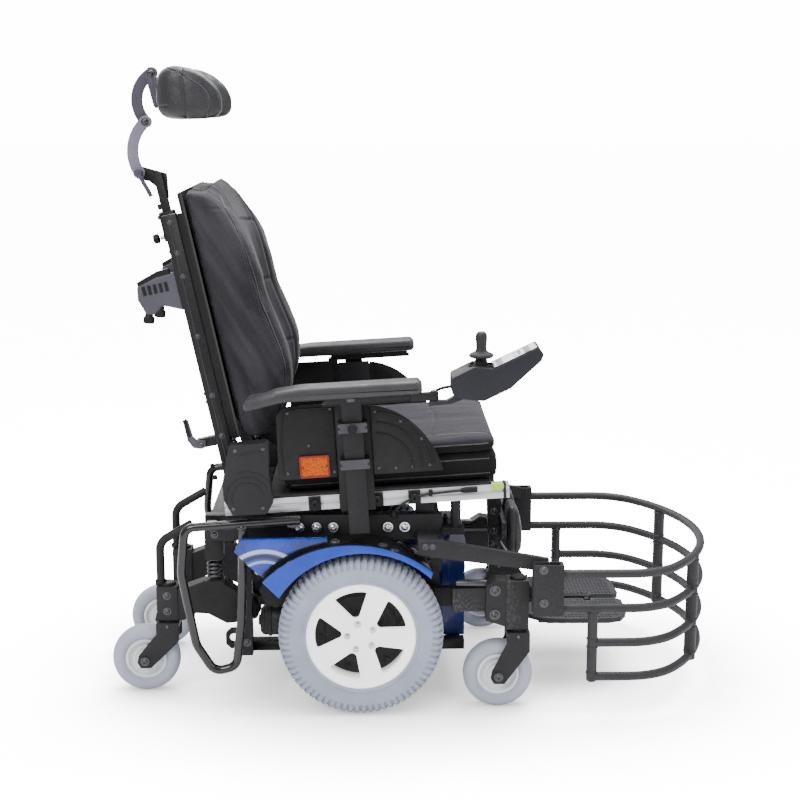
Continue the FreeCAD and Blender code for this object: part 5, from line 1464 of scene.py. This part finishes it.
def headrest_pad():
    bm = bmesh.new()
    rings = []
    inner = 106.0
    for k in range(49):
        angle = math.radians(-70.2 + 140.4 * k / 48)
        c, s = math.cos(angle), math.sin(angle)
        outer = headrest_reach(c, s, inner)
        tip = ease((abs(angle) - math.radians(45)) / math.radians(25.2))
        ring = []
        for j in range(36):
            a = 2 * math.pi * j / 36
            p, q = math.cos(a), math.sin(a)
            r = (inner + outer) / 2 + (outer - inner) / 2 * math.copysign(abs(p) ** 0.55, p)
            x = -252 - r * c + tip * (r - inner) * c
            low, high = interpolate(HEAD_LOW, x) + 2.5, interpolate(HEAD_TOP, x) - 2.5
            z = (low + high) / 2 + (high - low) / 2 * math.copysign(abs(q) ** 0.5, q)
            ring.append(bm.verts.new((x, r * s, z)))
        rings.append(ring)
    skin(bm, rings)

    def seams(p, n):
        x, y, z = p
        amount = 0.5 * noise.noise(Vector((x / 26, y / 26, z / 26)))
        if abs(n.y) > 0.45 or n.z > 0.4:
            amount += groove(x + 366 + 0.06 * (z - 1310), 2.2, 2.6)
            amount += groove(x - head_seam(z), 2.2, 2.6)
            amount += 1.4 * math.exp(-((x + 340) / 20) ** 4)
        if n.x < -0.5:
            amount += groove(z - 1290 - 0.05 * (x + 434), 1.6, 1.4)
        return amount

    piece = stuffed("headrest_cover", bm, SKIN, "headrest_cushion", BASE, 4.0, 3.0,
                    seams, ("headrest_pad",))
    for side, word in SIDES:
        points = [(head_seam(z), side * 120, z) for z in np.linspace(1265, 1352, 34)]
        surface_cord("headrest_piping_" + word, piece, points, (0, side, 0), 1.5, "headrest_cushion")
    bm = bmesh.new()
    prism(bm, rounded(box_outline((-20, 20), (1300, 1340)), 4), -435.5, -432, "x")
    finish_piece("headrest_back_plate", bm, DARK, "headrest_cushion", bevel=0.8)


headrest_pad()


# ---------------------------------------------------------------- seat cushions

def cushion_form(bm, x, y, z, corner, roll, crown=0.0, dish=None):
    """Closed cushion: rounded rectangle in plan, rolled edges, crowned top and optional dish."""
    plan = rounded(box_outline(x, y), corner, 8)
    dense = []
    for i, (a, b) in enumerate(plan):
        nx, ny = plan[(i + 1) % len(plan)]
        pieces = max(1, int(math.hypot(nx - a, ny - b) / 16))
        dense += [(a + (nx - a) * k / pieces, b + (ny - b) * k / pieces) for k in range(pieces)]
    middle = Vector(((x[0] + x[1]) / 2, (y[0] + y[1]) / 2))
    rows = []
    for k in range(9):
        a = math.pi * (k / 8 - 0.5)
        inset = roll * (1 - math.cos(a) ** 0.7)
        height = z[0] + (z[1] - z[0]) * (0.5 + 0.5 * math.sin(a))
        row = []
        for px, py in dense:
            away = Vector((px, py)) - middle
            place = middle + away * (1 - inset / away.length)
            row.append(bm.verts.new((place.x, place.y, height)))
        rows.append(row)
    steps = 10
    last = rows[-1]
    for k in range(1, steps):
        t = k / steps
        row = []
        for vertex in last:
            px = middle.x + (vertex.co.x - middle.x) * (1 - t)
            py = middle.y + (vertex.co.y - middle.y) * (1 - t)
            lift = crown * math.sin(math.pi * min(1, t * 1.1) / 2)
            lift -= dish(px, py) if dish else 0
            row.append(bm.verts.new((px, py, z[1] + lift)))
        rows.append(row)
    skin(bm, rows)


# Height of the seam where the black sides of the upper cushion meet its grey top.
SEAT_SEAM = 117


def seat_cushions():
    bm = bmesh.new()
    cushion_form(bm, (-187, 283), (-218, 218), (41, 95), 26, 8)

    def lower(p, n):
        x, y, z = p
        amount = 0.8 * noise.noise(Vector((x / 40, y / 40, z / 18)))
        if abs(n.z) < 0.6:
            amount += groove(z - 84, 1.8, 2.2) + groove(z - 52, 1.8, 2.2)
            amount += 1.4 * noise.noise(Vector((x / 22, y / 22, z / 60)))
        return amount

    piece = stuffed("seat_base_cover", bm, BLACK_CLOTH, "base", SEAT, 6.0, 4.0,
                    lower, ("seat_base_cushion",))
    for side, word in SIDES:
        for z, tag in ((84, "upper"), (52, "lower")):
            surface_cord("seat_base_piping_%s_%s" % (tag, word), piece,
                         [(x, side * 226, z) for x in np.linspace(-166, 262, 44)],
                         (0, side, 0), 1.5, "base", SEAT)
    surface_cord("seat_base_piping_front", piece, [(300, y, 84) for y in np.linspace(-196, 196, 44)],
                 (1, 0, 0), 1.5, "base", SEAT)

    bm = bmesh.new()

    def dish(x, y):
        valley = 5.0 * math.exp(-((y - 12) / 26) ** 2)
        well = 4.0 * math.exp(-((x + 40) / 110) ** 2 - (y / 150) ** 2)
        return valley + well

    cushion_form(bm, (-151, 280), (-217, 217), (101, 128), 34, 7, 3, dish)

    def upper(p, n):
        x, y, z = p
        amount = 0.5 * noise.noise(Vector((x / 34, y / 34, z / 22)))
        if abs(n.z) < 0.6:
            amount += groove(z - SEAT_SEAM, 1.6, 1.6)
        if n.z > 0.5:
            amount += groove(abs(y) - 168, 2.6, 2.4)
            amount += groove(x - 150 - 10 * math.cos(y / 70), 2.6, 2.2) if abs(y) < 168 else 0
            amount += 1.3 * noise.noise(Vector((x / 60, y / 20, 4.0)))
        return amount

    piece = stuffed("seat_cushion_cover", bm, SEAT_CLOTH, "base", SEAT, 5.0, 4.0,
                    upper, ("seat_cushion",))
    piece.data.materials.append(BLACK_CLOTH)
    to_seat = SEAT.inverted()
    for polygon in piece.data.polygons:
        if (to_seat @ (piece.matrix_world @ polygon.center)).z < SEAT_SEAM:
            polygon.material_index = 1
    for side, word in SIDES:
        surface_cord("seat_side_piping_" + word, piece,
                     [(x, side * 230, SEAT_SEAM) for x in np.linspace(-128, 262, 44)],
                     (0, side, 0), 1.6, "base", SEAT)
        surface_cord("seat_top_piping_" + word, piece,
                     [(x, side * 168, 240) for x in np.linspace(-120, 262, 40)],
                     (0, 0, 1), 1.3, "base", SEAT)
    surface_cord("seat_front_piping", piece, [(300, y, SEAT_SEAM) for y in np.linspace(-190, 190, 40)],
                 (1, 0, 0), 1.6, "base", SEAT)


seat_cushions()


# ---------------------------------------------------------------- armrests

def rolled(edge, depth, width):
    """How far a padded outline draws in near an end of the pad."""
    return depth * (1 - math.sqrt(max(0.0, 1 - (1 - min(1, edge / width)) ** 2)))


def armrest(side, word):
    body = "armrest_" + word
    dress("armrest_post_" + word, BLACK, 1.6, 3, 40)
    bm = bmesh.new()
    outline = rounded([(-249, 252), (-246, 236), (-166, 250), (119, 250), (125, 256), (125, 272),
                       (117, 280), (-127, 281), (-180, 276)], 7, 6)
    ys = [0.0, 0.8, 2.4, 5, 9, 15, 22, 28, 34, 41, 47, 51, 53.6, 55.2, 56.0]
    middle = -62
    rows = []
    for y in ys:
        inset = rolled(min(y, 56 - y), 8.0, 9.0)
        crown = 2.0 * math.sin(math.pi * y / 56)
        row = []
        for a, b in outline:
            shift = math.copysign(inset, a - middle) if abs(a - middle) > 150 else 0
            z = b - math.copysign(min(inset, abs(b - 262)), b - 262) + (crown - 2.0 if b > 268 else 0)
            row.append(bm.verts.new((a - shift, side * (244 + y), z)))
        rows.append(row)
    skin(bm, rows)
    pad = finish_piece("armrest_pad_skin_" + word, bm, PAD_SKIN, body, SEAT, angle=60,
                       replaces=("armrest_pad_" + word,))
    bm = bmesh.new()
    for x in (-60, 70):
        spindle(bm, (x, side * 272, 256), (0, 0, -1), [(0, 5), (1, 7), (17.6, 7), (18, 5), (20, 3)], 20)
    prism(bm, rounded(box_outline((-86, 112), (235, 240)), 2), *span(side, 264, 289))
    finish_piece("armrest_under_plate_" + word, bm, DARK, body, SEAT, bevel=0.8)
    bm = bmesh.new()
    for k in range(9):
        z = -28 + 16 * k
        spindle(bm, (-25, side * 289.9, z), (0, side, 0),
                [(0, 3.4), (0.75, 3.2), (0.45, 2.2), (0.2, 0.05)], 16)
    spindle(bm, (-25, side * 285, 243.5), UP, [(0, 12), (6, 12), (9, 10), (12, 5)], 20)
    finish_piece("armrest_post_holes_" + word, bm, SOCKET, body, SEAT)
    bm = bmesh.new()
    spindle(bm, (-25, side * 299.2, 188), (0, side, 0),
            [(0, 6), (3, 6), (5, 10), (12, 10.5), (14, 9), (14.4, 0.05)], 8)
    finish_piece("armrest_height_knob_" + word, bm, DARK, "base", SEAT, bevel=0.8)


for side, word in SIDES:
    armrest(side, word)


# ---------------------------------------------------------------- joystick

STICK = (252, -280)


def joystick():
    dress("joystick_pod", POD, 3.0, 3, 30)
    dress("joystick_gimbal", SOCKET, 0.8, 2, 40)
    (low_x, low_z), (high_x, high_z) = (276, 763), (366, 806)
    slope = math.atan2(high_z - low_z, high_x - low_x)
    cos, sin = math.cos(slope), math.sin(slope)
    # Frame of the sloping keypad: x up the slope from its near edge, z out of the face.
    face = Matrix.Translation(BASE @ Vector((low_x, STICK[1], low_z))) @ Matrix((
        (cos, 0, -sin, 0), (0, 1, 0, 0), (sin, 0, cos, 0), (0, 0, 0, 1))) @ MM
    film = [(2, -35), (96, -33), (99, -26), (99, 26), (96, 33), (2, 35)]
    bm = bmesh.new()
    prism(bm, rounded(film, 8, 6), -0.6, 1.5, "z")
    finish_piece("keypad_film", bm, KEYPAD, "joystick_pod", face, bevel=0.6)
    bm = bmesh.new()
    for x in (16, 78):
        for y in (-22, 0, 22):
            prism(bm, rounded(box_outline((x - 7, x + 7), (y - 7, y + 7)), 4, 4), 1.2, 2.9, "z")
    for k in range(5):
        lamp = box_outline((58, 64), (-20 + 8.6 * k, -14 + 8.6 * k))
        prism(bm, rounded(lamp, 1.4, 3), 1.2, 2.4, "z")
    finish_piece("keypad_keys", bm, KEY_LIGHT, "joystick_pod", face, bevel=0.5)
    for name, y in (("power_button", 18), ("horn_button", -18)):
        bm = bmesh.new()
        spindle(bm, (46 / cos, y, -5), UP,
                [(0, 5.6), (5.6, 5.6), (6.6, 5.0), (6.9, 3.2), (6.5, 0.05)], 28)
        finish_piece(name + "_cap", bm, KEY_LIGHT, name, face, replaces=(name,))
    bm = bmesh.new()
    frame_ring(bm, rounded([(-1, -38), (101, -36), (103, -28), (103, 28), (101, 36), (-1, 38)], 9, 6),
               rounded(film, 9, 6), -1.5, 2.2, "z")
    finish_piece("keypad_frame", bm, POD, "joystick_pod", face, bevel=0.5)
    bm = bmesh.new()
    spindle(bm, (*STICK, 762.5), UP, [(0, 27), (2.0, 27.5), (4.4, 26.5), (5.0, 23.4), (1, 23.2)], 48)
    finish_piece("stick_collar", bm, DARK, "joystick_pod")
    bm = bmesh.new()
    # The boot is narrow enough to clear the collar with both stick joints at their limits.
    profile = [(0, 21.6), (4, 21.2), (8, 20.0), (11, 18.0)]
    for k in range(4):
        h = 12 + 5.0 * k
        r = 16.2 - 1.2 * k
        profile += [(h, r), (h + 1.5, r + 1.3), (h + 3.0, r), (h + 4.0, r - 1.6)]
    profile += [(33, 11.6), (34, 17), (36, 23), (38.6, 25.6), (41.5, 25.8), (44, 23), (46.5, 17.5),
                (49, 13.0), (52, 11.2), (58, 10.8), (66, 11.4), (74, 12.2), (80, 12.2), (85, 11.2),
                (88.6, 8.4), (90.4, 4), (90.9, 0.05)]
    spindle(bm, (*STICK, 745.2), UP, profile, 48)
    finish_piece("stick_boot_and_knob", bm, BOOT, "joystick_lever", angle=70,
                 replaces=("joystick_lever",))
    bm = bmesh.new()
    bolt(bm, (153.2, -288, 711), (-0.06, 0, 1), 5.2, 3.6)
    spindle(bm, (374, -280, 782), (1, 0, 0.3), [(0, 6), (3.6, 6), (4.2, 5), (2.4, 4), (2.4, 0.05)], 24)
    finish_piece("pod_screws_and_socket", bm, SOCKET, "joystick_pod")
    bm = bmesh.new()
    pipe(bm, [(190, -262, 716), (176, -258, 713), (160, -262, 708)], 3.2, 12, 8)
    finish_piece("pod_lead_stub", bm, LEAD, "joystick_pod")


joystick()


# ---------------------------------------------------------------- leg rest

dress("leg_rest_frame", BLACK, 1.8, 3, 36)


def calf_pad(side, word):
    bm = bmesh.new()
    outline = rounded([(330, 302), (335, 298), (355, 298), (362, 312), (363, 350), (356, 394),
                       (346, 410), (330, 408)], 8, 5)
    rows = []
    middle = Vector((344, 354))
    for k in range(15):
        t = k / 14
        y = 25.5 + 81 * t
        inset = rolled(min(t, 1 - t) * 81, 9.0, 11.0)
        row = []
        for a, b in outline:
            away = Vector((a, b)) - middle
            place = middle + away * max(0.2, 1 - inset / away.length)
            row.append(bm.verts.new((place.x, side * y, place.y)))
        rows.append(row)
    skin(bm, rows)

    def seams(p, n):
        x, y, z = p
        amount = 0.5 * noise.noise(Vector((x / 20, y / 20, z / 20)))
        if abs(n.x) < 0.7:
            amount += groove(x - 346, 1.8, 1.8)
        return amount

    return stuffed("calf_pad_cover_" + word, bm, SKIN, "leg_rest", BASE, 4.0, 2.0,
                   seams, ("calf_pads",) if side < 0 else ())


def footplate(side, word):
    body = "footplate_" + word
    dress(body, TREAD, 2.0, 3, 40)
    bm = bmesh.new()
    edge = [(386, 118), (422, 142), (556, 144), (582, 134), (596, 108), (598, 22)]
    for k in range(23):
        x = 402 + 8.4 * k
        high = 143.0
        for (x0, y0), (x1, y1) in zip(edge, edge[1:]):
            if min(x0, x1) <= x <= max(x0, x1):
                high = y0 + (y1 - y0) * (x - x0) / (x1 - x0)
        shift = 2.0 if k % 2 else 0.0
        y = 34.0 if x < 404 or 512 < x < 540 else 20.0
        while y + 6 < high - 4:
            stud = box_outline((x - 2.4, x + 2.4), (side * (y + shift), side * (y + shift + 7.4)))
            prism(bm, rounded(stud, 1.2, 2), 161.8, 163.6, "z")
            y += 11.0
    finish_piece("footplate_tread_" + word, bm, TREAD, body, angle=60)
    bm = bmesh.new()
    rim = [(380, 40), (380, 112), (421, 147), (556, 149), (585, 137), (600, 110), (603, 24)]
    pipe(bm, [(x, side * y, 161) for x, y in rim], 2.2, 10, 6)
    for y in (48, 88, 124):
        prism(bm, [(400, side * y), (404, side * (y + 3)), (578, side * (y + 3)), (582, side * y)][::side],
              144, 150.4, "z")
    finish_piece("footplate_lip_" + word, bm, TREAD, body, angle=60)
    bm = bmesh.new()
    spindle(bm, (534.5, side * 18, 157), (1, 0, 0), [(0, 4.6), (3, 4.6), (3.4, 3)], 16)
    finish_piece("footplate_pin_end_" + word, bm, STEEL, body)


for side, word in SIDES:
    calf_pad(side, word)
    footplate(side, word)


def leg_details():
    bm = bmesh.new()
    for side in (-1, 1):
        for x, z in ((306, 376), (306, 329), (302, 300)):
            bolt(bm, (x, side * 20.2, z), (0, side, 0), 6.2, 4.4)
    finish_piece("leg_post_bolts", bm, SOCKET, "leg_rest")
    bm = bmesh.new()
    for side in (-1, 1):
        spindle(bm, (290, side * 34.2, 440), (0, side, 0), [(0, 14), (3, 14), (5, 12), (5.4, 6)], 28)
    finish_piece("leg_pivot_caps", bm, DARK, "base")


leg_details()


# ---------------------------------------------------------------- floor

bm = bmesh.new()
bmesh.ops.create_grid(bm, x_segments=1, y_segments=1, size=40)
mesh = bpy.data.meshes.new("floor")
bm.to_mesh(mesh)
bm.free()
floor = bpy.data.objects.new("floor", mesh)
floor.location.z = -0.0005
bpy.context.collection.objects.link(floor)
floor.data.materials.append(FLOOR.material)
